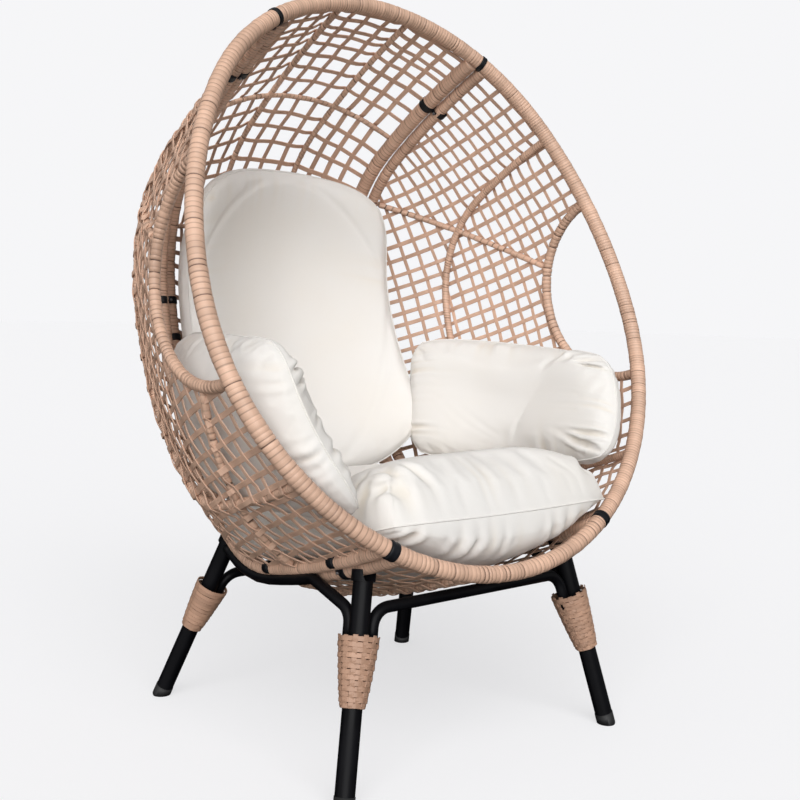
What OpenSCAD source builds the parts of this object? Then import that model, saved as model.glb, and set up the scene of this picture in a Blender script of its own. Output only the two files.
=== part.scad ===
// Egg chair on four legs: a wicker basket tilted back over a tubular stand, with four loose cushions.
// The basket is drawn upright in its own frame (x across, y back from the rim, z up the rim), then tilted.

/* [Rim] */
// Width of the rim, centre to centre
rim_w = 1072; // [1050:1:1100]
// Height of the rim above its widest line
rim_rise = 653; // [635:1:670]
// Radius of the rim's flanks above its widest line
flank_r = 796; // [780:1:812]
// Backward lean of the rim in degrees
lean = 22.3; // [18:0.1:25]
// Height of the rim's lowest point above the floor
rim_low_z = 378; // [365:1:395]
// Radius of the wrapped rim tube
rim_r = 16; // [14:0.5:18]
// Length of the black collars
collar_l = 18; // [12:1:26]
// How far a collar stands proud of its tube
collar_proud = 1.5; // [1:0.5:3]

/* [Shell profile] */
// Turn of the roof arc in degrees
roof_turn = 12; // [10:1:15]
// Turn of the shoulder arc in degrees
shoulder_turn = 64; // [60:1:67]
// Turn of the back arc in degrees
back_turn = 48; // [45:1:51]
// Turn of the tail arc in degrees
tail_turn = 44; // [41:1:47]
// Radius of the roof arc
roof_r = 1953; // [1900:1:2000]
// Radius of the back arc
back_r = 870; // [850:1:890]
// Radius of the seat arc
seat_r = 2148; // [2100:1:2200]

/* [Basket frame] */
// Distance of each seam from the middle
seam_x = 268; // [262:1:276]
// Clear gap between the two tubes of a seam, across the chair
seam_gap = 2; // [1:0.5:4]
// Radius of the thick edge tubes of the back and seat panels
edge_r = 17; // [15:0.5:18]
// Radius of the edge tubes of the side panels
side_edge_r = 12; // [10:0.5:13]
// Distance of the back and seat ribs from the middle
rib_x = 88; // [78:1:98]
// Radius of the back and seat ribs
rib_r = 6.5; // [5:0.5:8]
// Distance of the side ribs inward from the rim's widest point
side_rib_inset = 116; // [106:1:131]
// Radius of the side ribs
side_rib_r = 8; // [6:0.5:10]
// Radius of the cross ribs
cross_r = 5.5; // [4:0.5:7]
// Radius of the tubes across the meeting ends of the back and seat panels
end_r = 11; // [9:0.5:12]
// Clear gap between those two tubes
end_gap = 8; // [4:1:14]
// Height of the side window
window_h = 410; // [390:2:430]
// Height of the window's middle above the rim's widest line
window_up = 50; // [40:1:60]
// Radius of the window tubes
window_r = 11; // [9:0.5:13]
// Length of a seam clip's straps
clip_l = 20; // [14:1:26]

/* [Weave] */
// Thickness of the woven wall
weave_t = 4; // [3:0.5:5]
// Width of a woven strip
strip_w = 14; // [10:0.5:18]
// Distance between crossing strips along the back
strip_pitch = 106; // [96:1:120]

/* [Stand] */
// Distance of the feet from the middle, sideways
foot_x = 340; // [325:1:355]
// Distance from the front feet to the rear feet
foot_base = 685; // [665:1:705]
// Distance of the front feet behind the front of the rim
foot_setback = 67; // [55:1:80]
// Radius of the legs
leg_r = 18; // [16:0.5:20]
// Wall of the leg tubes
leg_wall = 1.5; // [1:0.25:2.5]
// Radius of the stretchers
arch_r = 11; // [9:0.5:12]
// Drop from the top of a front leg to the front stretcher's level bar
front_drop = 71; // [69:1:79]
// Drop from the top of a rear leg to the rear stretcher's level bar
rear_drop = 91; // [88:1:100]
// How far below the front stretcher's level bar a side stretcher bends away from the front leg
side_bend_drop = 8; // [2:1:16]
// Drop from the top of a rear leg to the rear end of a side stretcher
side_end_drop = 31; // [24:1:46]
// Bend radius of the stretchers
arch_bend = 40; // [30:1:46]
// Height of a foot glide
glide_h = 12; // [8:1:16]
// Distance from the front stretcher's level bar down to a sleeve's lower end
sleeve_low_drop = 164; // [155:1:172]
// Distance from the front stretcher's level bar down to a front sleeve's upper end
front_sleeve_drop = 50; // [46:1:58]
// Distance from the rear stretcher's level bar down to a rear sleeve's upper end
rear_sleeve_drop = 29; // [26:1:36]
// Length of a stretcher's end inside a sleeve
arch_seat = 22; // [16:1:26]
// Thickness of a sleeve's wrapping at its lower end
sleeve_wall = 3.5; // [2.5:0.5:5]
// Length of the saddle on top of a leg
saddle_l = 20; // [16:1:26]

/* [Cushions] */
// Thickness of the back cushion
back_cushion_t = 135; // [120:1:145]
// Thickness of the seat cushion
seat_cushion_t = 125; // [110:1:135]
// Distance of the back cushion's sides inward from the rim's widest point
back_cushion_inset = 248; // [244:1:266]
// Distance of the seat cushion's sides inward from the rim's widest point
seat_cushion_inset = 232; // [230:1:256]
// Thickness of the arm cushions
arm_cushion_t = 110; // [95:1:116]
// Gap between the thick edge tubes and the cushions
cushion_gap = 4; // [3:0.5:8]
// How far a cushion's sides draw in between its corners, as a share of its half width
draw_in = 0.05; // [0.02:0.01:0.08]

/* [Hidden] */

rattan = [0.80, 0.63, 0.48];
black = [0.13, 0.13, 0.14];
cream = [0.92, 0.90, 0.87];
steel = [0.70, 0.70, 0.72];
left = -1;
right = 1;
front = -1;
rear = 1;
half_w = rim_w / 2;
rim_sides = 10;
tube_sides = 8;
rod_sides = 6;
// Gap between two rods or two woven bays that end on the same rib
split = 1;
// Gap between a round piece and what it passes through
fit_gap = 0.2;
// Gap between the floor and the lower edge of a leg tube, inside its glide
foot_gap = 1;

// ---- chains of tangent arcs ----
// A chain starts level at [0, top] and turns clockwise: [radii, turns, headings, start points, lengths]
function chord(r, h, a) = r * [sin(h + a) - sin(h), cos(h + a) - cos(h)];
function running(v, i = 0, sum = 0) = i == len(v) ? [sum] : concat([sum], running(v, i + 1, sum + v[i]));
function starts(p, r, a, h, i = 0) =
    i == len(r) ? [p] : concat([p], starts(p + chord(r[i], h[i], a[i]), r, a, h, i + 1));
function chain(top, r, a) =
    let (h = running(a))
    [r, a, h, starts([0, top], r, a, h), running([for (i = [0:len(r) - 1]) r[i] * a[i] * PI / 180])];
function arc_of(c, t) = max(0, min(floor(t), len(c[0]) - 1));
function heading(c, t) = let (i = arc_of(c, t)) c[2][i] + (t - i) * c[1][i];
function at(c, t) = let (i = arc_of(c, t)) c[3][i] + chord(c[0][i], c[2][i], (t - i) * c[1][i]);
function length_at(c, t) = let (i = arc_of(c, t)) c[4][i] + (t - i) * (c[4][i + 1] - c[4][i]);
function place(c, l, i = 0) =
    i == len(c[0]) - 1 || l < c[4][i + 1] ? i + (l - c[4][i]) / (c[4][i + 1] - c[4][i]) : place(c, l, i + 1);
// Places from ta to tb, with the given number of steps in every arc between them
function places(ta, tb, steps) = concat(
    [ta],
    [for (i = [0:len(steps) - 1]) for (j = [0:steps[i] - 1])
        let (t = i + j / steps[i]) if (t > ta + 0.35 / steps[i] && t < tb - 0.35 / steps[i]) t],
    [tb]);
function unit(v) = v / norm(v);

// ---- rim ----
// The crown takes the radius that joins the two flanks at the rim's height
crown_r = (half_w * half_w - 2 * flank_r * half_w + rim_rise * rim_rise) / (2 * (rim_rise - flank_r));
crown_up = rim_rise - crown_r;
flank_turn = atan2(crown_up, flank_r - half_w);
rim = chain(rim_rise, [crown_r, flank_r, half_w], [90 - flank_turn, flank_turn, 90]);
rim_steps = [6, 4, 10];
top_seam_l = crown_r * asin(seam_x / crown_r) * PI / 180;
low_seam_l = rim[4][3] - half_w * asin(seam_x / half_w) * PI / 180;
function rim_x(z) = z > 0 ? half_w - flank_r + sqrt(flank_r * flank_r - z * z) : sqrt(half_w * half_w - z * z);
function rim_ring(side, t, r) =
    let (h = heading(rim, t), p = at(rim, t), out = [side * sin(h), 0, cos(h)])
    [for (j = [0:rim_sides - 1]) let (a = 360 * j / rim_sides)
        [side * p[0], 0, p[1]] + r * (cos(a) * out + sin(a) * [0, 1, 0])];

// ---- shell profile, in the plane x = 0 ----
turns = [roof_turn, shoulder_turn, back_turn, tail_turn, 180 - roof_turn - shoulder_turn - back_turn - tail_turn];
turned = running(turns);
given = chord(roof_r, turned[0], turns[0]) + chord(back_r, turned[2], turns[2])
    + chord(seat_r, turned[4], turns[4]);
// The shoulder and tail arcs take the radii that bring the profile back to the rim
shoulder_c = chord(1, turned[1], turns[1]);
tail_c = chord(1, turned[3], turns[3]);
rest = [-given[0], -rim_rise - half_w - given[1]];
det = shoulder_c[0] * tail_c[1] - tail_c[0] * shoulder_c[1];
shoulder_r = (rest[0] * tail_c[1] - tail_c[0] * rest[1]) / det;
tail_r = (shoulder_c[0] * rest[1] - rest[0] * shoulder_c[1]) / det;
profile = chain(rim_rise, [roof_r, shoulder_r, back_r, tail_r, seat_r], turns);
profile_steps = [3, 7, 5, 5, 3];
profile_l = profile[4][5];

// ---- shell: every section across x is the profile scaled by k ----
function k_at(x) = sqrt(max(0, 1 - pow(x / half_w, 2)));
function x_at(k) = half_w * sqrt(max(0, 1 - k * k));
function bearing(t) = let (p = at(profile, t)) atan2(p[0], p[1]);
function place_at(angle, lo = 0, hi = 5, n = 24) =
    let (m = (lo + hi) / 2)
    n == 0 ? m : bearing(m) < angle ? place_at(angle, m, hi, n - 1) : place_at(angle, lo, m, n - 1);
function shell_out(x, t) =
    let (h = heading(profile, t), k = k_at(x), out = [sin(h), cos(h)], q = at(profile, t) * out)
    unit([x / (half_w * half_w), k * out[0] / q, k * out[1] / q]);
// Point of the shell's middle surface at x and place t, moved outward by lift
function shell(x, t, lift = 0) = let (k = k_at(x), p = at(profile, t)) [x, k * p[0], k * p[1]] + lift * shell_out(x, t);
// Rows run straight across the chair, level on the back and the same depth behind the rim elsewhere
function row_heading(h) =
    h < turned[1] ? 0 : h < turned[2] ? 90 * (h - turned[1]) / turns[1]
    : h < turned[3] ? 90 : h < turned[4] ? 90 + 90 * (h - turned[3]) / turns[3] : 180;
function row_l(l, x) =
    let (t = place(profile, l), h = heading(profile, t), d = row_heading(h), k = k_at(x))
    max(0, min(profile_l, l + (1 / k - 1) * (at(profile, t) * [cos(d), -sin(d)]) / cos(h - d)));

// ---- window: a round opening in each side panel, cut by the rim ----
function window_k(t, margin) =
    let (b = bearing(t), r = window_h / 2 + margin)
    (window_up * cos(b) + sqrt(r * r - pow(window_up * sin(b), 2))) / norm(at(profile, t));
window_top_x = rim_x(window_up + window_h / 2);
window_low_x = rim_x(window_up - window_h / 2);
window_back_x = x_at(window_k(place_at(atan2(window_h / 2, window_up)), 0));

// ---- places of the frame ----
back_edge_x = seam_x - seam_gap / 2 - edge_r;
side_edge_x = seam_x + seam_gap / 2 + side_edge_r;
side_rib_x = half_w - side_rib_inset;
split_l = length_at(profile, place_at(77.5));
end_off = end_gap / 2 + end_r;
back_rows = [length_at(profile, place_at(26.5)), length_at(profile, place_at(55))];
seat_rows = [for (b = [110, 143]) length_at(profile, place_at(b))];
side_bearings = [45.5, 147];
side_sections = [0, 25, 45.5, 76, 112, 147, 180];
clip_bearings = [17, 68.6, 138, 161];
groove_bearings = [155, 150, 145, 138, 131, 125];

// ---- generic solids ----
// Skin between rings of equal size, with flat ends
module rings(list) {
    n = len(list[0]);
    m = len(list);
    polyhedron(
        points = [for (r = list) for (p = r) p],
        faces = concat(
            [[for (j = [0:n - 1]) n - 1 - j], [for (j = [0:n - 1]) (m - 1) * n + j]],
            [for (i = [0:m - 2]) for (j = [0:n - 1]) let (a = i * n + j, b = i * n + (j + 1) % n)
                each [[a, b, a + n], [b, b + n, a + n]]]));
}

// Tube along points, each with a direction that sets the turn of its ring
module tube(p, n, r, sides) {
    last = len(p) - 1;
    rings([for (i = [0:last])
        let (u = unit(p[min(i + 1, last)] - p[max(i - 1, 0)]), b = unit(cross(u, n[i])), q = cross(b, u))
        [for (j = [0:sides - 1]) p[i] + r * (cos(360 * (j + 0.5) / sides) * q - sin(360 * (j + 0.5) / sides) * b)]]);
}

// Tube in a section of the shell, from length la to lb of the profile
module section_tube(x, la, lb, r, sides) {
    t = places(place(profile, la), place(profile, lb), profile_steps);
    rings([for (i = t)
        let (h = heading(profile, i), q = [0, sin(h), cos(h)])
        [for (j = [0:sides - 1]) let (a = 360 * (j + 0.5) / sides)
            shell(x, i) + r * (cos(a) * q - sin(a) * [1, 0, 0])]]);
}

// Rods in a section of the shell, split where they meet the rows
module section_rods(x, ls, r) {
    for (i = [0:len(ls) - 2])
        section_tube(x, ls[i] + split / 2, ls[i + 1] - split / 2, r, rod_sides);
}

// Rod across the chair from xa to xb at row l
module row_rod(xa, xb, l, r, sides, steps) {
    x = [for (i = [0:steps]) xa + (xb - xa) * i / steps];
    t = [for (i = x) place(profile, row_l(l, i))];
    tube([for (i = [0:steps]) shell(x[i], t[i])], [for (i = [0:steps]) shell_out(x[i], t[i])], r, sides);
}

// Edges of the strips that share the span from a to b with n openings; the outer strips are ea and eb wide
function strips(a, b, n, w, ea, eb) =
    let (gap = (b - a - ea - eb - (n - 1) * w) / n)
    concat([a, a + ea], [for (i = [1:n - 1]) each [a + ea + i * gap + (i - 1) * w, a + ea + i * (gap + w)]], [b - eb, b]);

// Woven wall: a table of points on the shell with their outward directions.
// Every second cell of every second row is an opening.
module lattice(grid) {
    nu = len(grid);
    nt = len(grid[0]);
    back = nu * nt;
    function filled(i, j) = i >= 0 && j >= 0 && i < nu - 1 && j < nt - 1 && !(i % 2 == 1 && j % 2 == 1);
    function quad(a, b, c, d) = [[a, b, c], [a, c, d]];
    polyhedron(
        points = [for (s = [0.5, -0.5]) for (row = grid) for (g = row) g[0] + s * weave_t * g[1]],
        faces = concat(
            [for (i = [0:nu - 2]) for (j = [0:nt - 2]) if (filled(i, j))
                let (a = i * nt + j, b = a + nt) each concat(
                    quad(a, a + 1, b + 1, b),
                    quad(back + a, back + b, back + b + 1, back + a + 1))],
            [for (i = [0:nu - 1]) for (j = [0:nt - 2]) if (filled(i - 1, j) != filled(i, j))
                let (a = i * nt + j)
                each filled(i, j) ? quad(a, back + a, back + a + 1, a + 1) : quad(a, a + 1, back + a + 1, back + a)],
            [for (j = [0:nt - 1]) for (i = [0:nu - 2]) if (filled(i, j - 1) != filled(i, j))
                let (a = i * nt + j, b = a + nt)
                each filled(i, j) ? quad(a, b, back + b, back + a) : quad(a, back + a, back + b, b)]));
}

// Three bays of woven wall between two rows of a middle panel
module middle_bays(la, lb, ea, eb) {
    rows = max(1, round((lb - la) / strip_pitch));
    l = strips(la, lb, rows, strip_w, ea, eb);
    inner = rib_x + split / 2;
    outer = back_edge_x - edge_r + 2;
    for (u = [
        strips(-outer, -inner, 2, strip_w, 2, rib_r),
        strips(split / 2 - rib_x, rib_x - split / 2, 2, strip_w, rib_r, rib_r),
        strips(inner, outer, 2, strip_w, rib_r, 2)])
        lattice([for (x = u) [for (i = l)
            let (t = place(profile, row_l(i, x))) [shell(x, t), shell_out(x, t)]]]);
}

// Two bays of woven wall between two bearings of the right side panel
module side_bays(la, lb, ea, eb) {
    rows = max(1, round((lb - la) / (1.2 * strip_pitch)));
    t = [for (i = strips(la, lb, rows, 1.4 * strip_w, ea, eb)) place(profile, i)];
    edge_k = k_at(side_edge_x + side_edge_r - 2);
    rib_k = k_at(side_rib_x);
    lattice([for (f = strips(0, 1, 2, 0.075, 0.01, 0.04)) [for (i = t)
        let (x = x_at(edge_k + f * (rib_k + 0.003 - edge_k))) [shell(x, i), shell_out(x, i)]]]);
    lattice([for (f = strips(0, 1, 3, 0.065, 0.035, 0.03)) [for (i = t)
        let (x = x_at(rib_k - 0.003 + f * (window_k(i, 3) - rib_k + 0.003))) [shell(x, i), shell_out(x, i)]]]);
}

// Crowned pad on a square table of middle points, each with a direction that points outward
module pad(mid, thick) {
    n = len(mid) - 1;
    m = len(mid[0]) - 1;
    size = (n + 1) * (m + 1);
    function swell(i, c) = pow(1 - pow(abs(2 * i / c - 1), 3), 0.45);
    function edge(i, j) = i == 0 || j == 0 || i == n || j == m;
    function vertex(i, j, face) =
        face == 0 || edge(i, j) ? i * (m + 1) + j : size + (i - 1) * (m - 1) + j - 1;
    function half(i, j) = edge(i, j) ? 0 : thick / 2 * swell(i, n) * swell(j, m);
    polyhedron(
        points = concat(
            [for (i = [0:n]) for (j = [0:m]) mid[i][j][0] + half(i, j) * mid[i][j][1]],
            [for (i = [1:n - 1]) for (j = [1:m - 1]) mid[i][j][0] - half(i, j) * mid[i][j][1]]),
        faces = [for (i = [0:n - 1]) for (j = [0:m - 1])
            let (
                a = [for (f = [0, 1]) vertex(i, j, f)],
                b = [for (f = [0, 1]) vertex(i + 1, j, f)],
                c = [for (f = [0, 1]) vertex(i + 1, j + 1, f)],
                d = [for (f = [0, 1]) vertex(i, j + 1, f)])
            each (2 * i < n) == (2 * j < m)
                ? [[a[0], c[0], b[0]], [a[0], d[0], c[0]], [a[1], b[1], c[1]], [a[1], c[1], d[1]]]
                : [[a[0], d[0], b[0]], [b[0], d[0], c[0]], [a[1], b[1], d[1]], [b[1], c[1], d[1]]]]);
}

// ---- frames ----
// Right-hand things as they are, left-hand things mirrored
module on(side) {
    if (side == right) children();
    else mirror([1, 0, 0]) children();
}

// Places the basket's frame in the chair's frame
module basket() {
    translate([0, rim_y, rim_z])
        rotate([-lean, 0, 0])
            children();
}
function to_chair(p) =
    [p[0], rim_y + p[1] * cos(lean) + p[2] * sin(lean), rim_z - p[1] * sin(lean) + p[2] * cos(lean)];

// Turns +Z to direction d at point p
module aim(p, d) {
    translate(p)
        rotate([0, acos(d[2]), atan2(d[1], d[0])])
            children();
}

// The chair's origin lies under the middle of its depth
rim_reach = half_w * sin(lean) + rim_r;
rear_t = 1 + (90 - lean - turned[1]) / shoulder_turn;
rear_reach = at(profile, rear_t) * [cos(lean), sin(lean)] + weave_t / 2;
rim_y = (rim_reach - rear_reach) / 2;
rim_z = rim_low_z + half_w * cos(lean);

// ---- rim pieces ----
module rim_ends(la, lb) {
    t = places(place(rim, la), place(rim, lb), rim_steps);
    last = len(t) - 1;
    color(rattan)
        basket()
            rings(la == 0
                ? concat([for (i = [0:last - 1]) rim_ring(left, t[last - i], rim_r)], [for (i = t) rim_ring(right, i, rim_r)])
                : concat([for (i = t) rim_ring(right, i, rim_r)], [for (i = [1:last]) rim_ring(left, t[last - i], rim_r)]));
}

module rim_top() {
    rim_ends(0, top_seam_l - collar_l / 2);
}

module rim_bottom() {
    rim_ends(low_seam_l + collar_l / 2, rim[4][3]);
}

module rim_side(side) {
    t = places(place(rim, top_seam_l + collar_l / 2), place(rim, low_seam_l - collar_l / 2), rim_steps);
    color(rattan)
        basket()
            on(side)
                rings([for (i = t) rim_ring(right, i, rim_r)]);
}

module rim_collars() {
    color(black)
        basket()
            for (side = [left, right])
                on(side)
                    for (l = [top_seam_l, low_seam_l])
                        rings([for (i = [-1:1]) rim_ring(right, place(rim, l + i * collar_l / 2), rim_r + collar_proud)]);
}

// ---- tubes of the back and seat panels ----
split_edge_l = row_l(split_l, back_edge_x);
module back_edge(side) {
    color(rattan)
        basket()
            on(side)
                section_tube(back_edge_x, rim_r / 2, split_edge_l - collar_l / 2, edge_r, tube_sides);
}

module seat_edge(side) {
    color(rattan)
        basket()
            on(side)
                section_tube(back_edge_x, split_edge_l + collar_l / 2, profile_l - rim_r / 2, edge_r, tube_sides);
}

module edge_collars() {
    color(black)
        basket()
            for (side = [left, right])
                on(side)
                    section_tube(back_edge_x, split_edge_l - collar_l / 2, split_edge_l + collar_l / 2,
                        edge_r + collar_proud, tube_sides);
}

module ribs(rows) {
    color(rattan)
        basket()
            for (side = [left, right])
                on(side)
                    section_rods(rib_x, [for (l = rows) row_l(l, rib_x)], rib_r);
}

module cross_ribs(rows) {
    reach = back_edge_x - edge_r + 3;
    color(rattan)
        basket()
            for (l = rows)
                row_rod(-reach, reach, l, cross_r, rod_sides, 6);
}

module end_tube(l) {
    reach = back_edge_x - edge_r + 3;
    color(rattan)
        basket()
            row_rod(-reach, reach, l, end_r, tube_sides, 6);
}

// ---- tubes of the side panels ----
side_cross_ls = [for (b = side_bearings) length_at(profile, place_at(b))];
module side_edge(side) {
    color(rattan)
        basket()
            on(side)
                section_tube(side_edge_x, rim_r / 2, profile_l - rim_r / 2, side_edge_r, tube_sides);
}

module side_rib(side) {
    color(rattan)
        basket()
            on(side)
                section_rods(side_rib_x, concat([rim_r / 2], side_cross_ls, [profile_l - rim_r / 2]), side_rib_r);
}

module side_cross_ribs(side) {
    color(rattan)
        basket()
            on(side)
                for (l = side_cross_ls) {
                    t = place(profile, l);
                    k = [for (i = [0:4]) let (a = k_at(side_edge_x + side_edge_r - 3)) a + (window_k(t, window_r - 3) - a) * i / 4];
                    tube([for (i = k) shell(x_at(i), t)], [for (i = k) shell_out(x_at(i), t)], cross_r, rod_sides);
                }
}

module window_frame(side) {
    color(rattan)
        basket()
            on(side)
                translate([(window_top_x + window_low_x) / 2, 0, window_up])
                    rotate([0, 0, -atan2(window_back_x - (window_top_x + window_low_x) / 2, window_h / 2)])
                        rotate([0, -90 - atan2(window_low_x - window_top_x, window_h), 0])
                            rotate_extrude(angle = 180, $fn = 72)
                                translate([window_h / 2, 0])
                                    circle(r = window_r, $fn = 20);
}

// ---- weave ----
module back_weave() {
    ls = concat([rim_r - 6], back_rows, [split_l - end_off]);
    color(rattan)
        basket()
            for (i = [0:len(ls) - 2])
                middle_bays(ls[i] + split / 2, ls[i + 1] - split / 2, i == 0 ? 6 : cross_r, i == len(ls) - 2 ? end_r : cross_r);
}

module seat_weave() {
    ls = concat([split_l + end_off], seat_rows, [profile_l - rim_r + 6]);
    color(rattan)
        basket()
            for (i = [0:len(ls) - 2])
                middle_bays(ls[i] + split / 2, ls[i + 1] - split / 2, i == 0 ? end_r : cross_r, i == len(ls) - 2 ? 6 : cross_r);
}

module side_weave(side) {
    ls = [for (b = side_sections) b == 0 ? rim_r - 6 : b == 180 ? profile_l - rim_r + 6 : length_at(profile, place_at(b))];
    last = len(ls) - 2;
    color(rattan)
        basket()
            on(side)
                for (i = [0:last])
                    side_bays(ls[i] + split / 2, ls[i + 1] - split / 2, i == 0 ? 22 : 0.6 * strip_w, i == last ? 22 : 0.6 * strip_w);
}

// ---- seam clips: a strap round each of the two tubes, joined by a bolted tab ----
clip_ls = [for (b = clip_bearings) length_at(profile, place_at(b))];
module seam_clips() {
    color(black)
        basket()
            for (side = [left, right])
                on(side)
                    for (l = clip_ls) {
                        t = place(profile, l);
                        a = shell(back_edge_x, t);
                        b = shell(side_edge_x, t);
                        section_tube(back_edge_x, l - clip_l / 2, l + clip_l / 2, edge_r + collar_proud, tube_sides);
                        section_tube(side_edge_x, l - clip_l / 2, l + clip_l / 2, side_edge_r + collar_proud, tube_sides);
                        tube([a, b], [shell_out(seam_x, t), shell_out(seam_x, t)], 8, 4);
                    }
}

module clip_bolts() {
    color(steel)
        basket()
            for (side = [left, right])
                on(side)
                    for (l = clip_ls) {
                        t = place(profile, l);
                        a = shell(back_edge_x, t);
                        b = shell(side_edge_x, t);
                        u = unit(b - a);
                        out = shell_out(seam_x, t);
                        d = unit(out - u * (u * out));
                        aim(a + u * (edge_r + (norm(b - a) - edge_r - side_edge_r) / 2), d) {
                            translate([0, 0, -9])
                                cylinder(r = 2, h = 18, $fn = 16);
                            for (z = [-9, 6])
                                translate([0, 0, z])
                                    cylinder(r = 3.6, h = 3, $fn = 16);
                        }
                    }
}

// ---- stand ----
front_foot_y = rim_y - rim_reach + foot_setback;
front_top_t = place_at(167);
rear_top_t = place_at(120);
function foot(end) = [foot_x, end == front ? front_foot_y : front_foot_y + foot_base, 0];
function top_t(end) = end == front ? front_top_t : rear_top_t;
function leg_top(end) = to_chair(shell(back_edge_x, top_t(end)));
// Direction of the seat's edge tube where a leg meets it
function top_dir(end) = let (h = heading(profile, top_t(end))) [0, cos(h - lean), -sin(h - lean)];
function leg_dir(end) = unit(leg_top(end) - foot(end));
function leg_at(end, z) = foot(end) + leg_dir(end) * z / leg_dir(end)[2];
function leg_l(end) = norm(leg_top(end) - foot(end)) - edge_r - saddle_l / 2;
function flip(p) = [-p[0], p[1], p[2]];
front_arch_z = leg_top(front)[2] - front_drop;
rear_arch_z = leg_top(rear)[2] - rear_drop;
side_bend_z = front_arch_z - side_bend_drop;
side_end_z = leg_top(rear)[2] - side_end_drop;
sleeve_z = front_arch_z - sleeve_low_drop;
front_sleeve_top = front_arch_z - front_sleeve_drop;
rear_sleeve_top = rear_arch_z - rear_sleeve_drop;

// A leg's square lower end starts where all of it is off the floor
function leg_start(end) = let (c = leg_dir(end)[2]) (leg_r * sqrt(1 - c * c) + foot_gap) / c;
module leg(side, end) {
    color(black)
        on(side)
            aim(foot(end), leg_dir(end))
                difference() {
                    translate([0, 0, leg_start(end)])
                        cylinder(r = leg_r, h = leg_l(end) - leg_start(end), $fn = 48);
                    cylinder(r = leg_r - leg_wall, h = leg_l(end) + 1, $fn = 48);
                }
}

module leg_saddles() {
    color(black)
        for (side = [left, right])
            on(side)
                for (end = [front, rear])
                    difference() {
                        aim(foot(end), leg_dir(end))
                            translate([0, 0, leg_l(end)])
                                cylinder(r = leg_r + 4, h = saddle_l, $fn = 48);
                        aim(leg_top(end), top_dir(end))
                            cylinder(r = edge_r, h = 6 * edge_r, center = true, $fn = 48);
                    }
}

module foot_glides() {
    color(black)
        for (side = [left, right])
            for (end = [front, rear])
                translate([side * foot_x, foot(end)[1], 0]) {
                    cylinder(r1 = leg_r - 2, r2 = leg_r + 1, h = glide_h / 3, $fn = 48);
                    translate([0, 0, glide_h / 3])
                        cylinder(r = leg_r + 1, h = glide_h * 2 / 3, $fn = 48);
                }
}

// Points of a bend of radius r about corner c, between directions a and b that point away from it
function bend(c, a, b, r, steps) =
    let (
        half = acos(a * b) / 2,
        hub = c + unit(a + b) * r / sin(half),
        pa = c + a * r / tan(half) - hub,
        pb = c + b * r / tan(half) - hub,
        turn = 180 - 2 * half)
    [for (i = [0:steps]) hub + (sin((1 - i / steps) * turn) * pa + sin(i / steps * turn) * pb) / sin(turn)];

// A stretcher's end stands in the sleeve beside a leg, on the side of direction to
function sleeve_top(end) = end == front ? front_sleeve_top : rear_sleeve_top;
function beside(end, to, z) =
    let (d = leg_dir(end)) leg_at(end, z) + unit(to - d * (to * d)) * (leg_r + arch_r + fit_gap);

module cross_stretcher(end) {
    d = leg_dir(end);
    start = beside(end, [-1, 0, 0], sleeve_top(end) - arch_seat);
    corner = beside(end, [-1, 0, 0], end == front ? front_arch_z : rear_arch_z);
    half = concat([start], bend(corner, -d, [-1, 0, 0], arch_bend, 5));
    n = len(half) - 1;
    path = concat(half, [for (i = [0:n]) flip(half[n - i])]);
    color(black)
        tube(path, [for (p = path) [0, 1, 0]], arch_r, tube_sides);
}

// Centre of a bar that lies in the groove between the two tubes of a seam, resting on the straps of the clips
function groove(t) =
    let (
        a = shell(back_edge_x, t),
        b = shell(side_edge_x, t),
        u = unit(b - a),
        out = shell_out(seam_x, t),
        ra = edge_r + collar_proud + arch_r + fit_gap,
        rb = side_edge_r + collar_proud + arch_r + fit_gap,
        m = (ra * ra - rb * rb + pow(norm(b - a), 2)) / (2 * norm(b - a)))
    to_chair(a + u * m + unit(out - u * (u * out)) * sqrt(ra * ra - m * m));

// A side stretcher rises from the front sleeve, lies in the seam's groove and ends on the rear leg
module side_stretcher(side) {
    d = leg_dir(front);
    start = beside(front, [0, 1, 0], front_sleeve_top - arch_seat);
    corner = beside(front, [0, 1, 0], side_bend_z);
    rest = [for (b = groove_bearings) groove(place_at(b))];
    n = len(rest) - 1;
    end = leg_at(rear, side_end_z);
    path = concat(
        [start],
        bend(corner, -d, unit(rest[0] - corner), arch_bend, 4),
        [for (i = [1:n - 1]) rest[i]],
        [rest[n], end + unit(rest[n] - end) * (leg_r - leg_wall / 2)]);
    color(black)
        on(side)
            tube(path, [for (p = path) [1, 0, 0]], arch_r, tube_sides);
}

// Tapered wrapping round a leg and the ends of the stretchers beside it: two in front, one at the rear
module sleeve(side, end) {
    d = leg_dir(end);
    top = sleeve_top(end);
    stretchers = end == front ? [[-1, 0, 0], [0, 1, 0]] : [[-1, 0, 0]];
    low = leg_at(end, sleeve_z);
    high = leg_at(end, top) + (end == front ? [-0.55, 0.55, 0] : [-0.75, 0, 0]) * arch_r;
    color(rattan)
        on(side)
            difference() {
                aim(low, unit(high - low))
                    cylinder(r1 = leg_r + sleeve_wall, r2 = leg_r + arch_r + sleeve_wall + 3 + 2 * len(stretchers) - 2,
                        h = norm(high - low), $fn = 48);
                aim(foot(end), d)
                    cylinder(r = leg_r + fit_gap, h = leg_l(end), $fn = 48);
                for (to = stretchers)
                    aim(beside(end, to, top - arch_seat), d)
                        cylinder(r = arch_r + fit_gap, h = 100, $fn = 36);
            }
}

// ---- cushions ----
cushion_lift = edge_r + collar_proud + cushion_gap;
cushion_steps = 14;
// Bearings from the rim's middle of the top and foot of the back cushion, and of the rear and front of the seat cushion
back_cushion_span = [38, 105];
seat_cushion_span = [111, 172];
// Place across the shell whose inward normal reaches x after lift
function x_below(x, t, lift, n = 6) = n == 0 ? x : x + lift * shell_out(x_below(x, t, lift, n - 1), t)[0];
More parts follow.
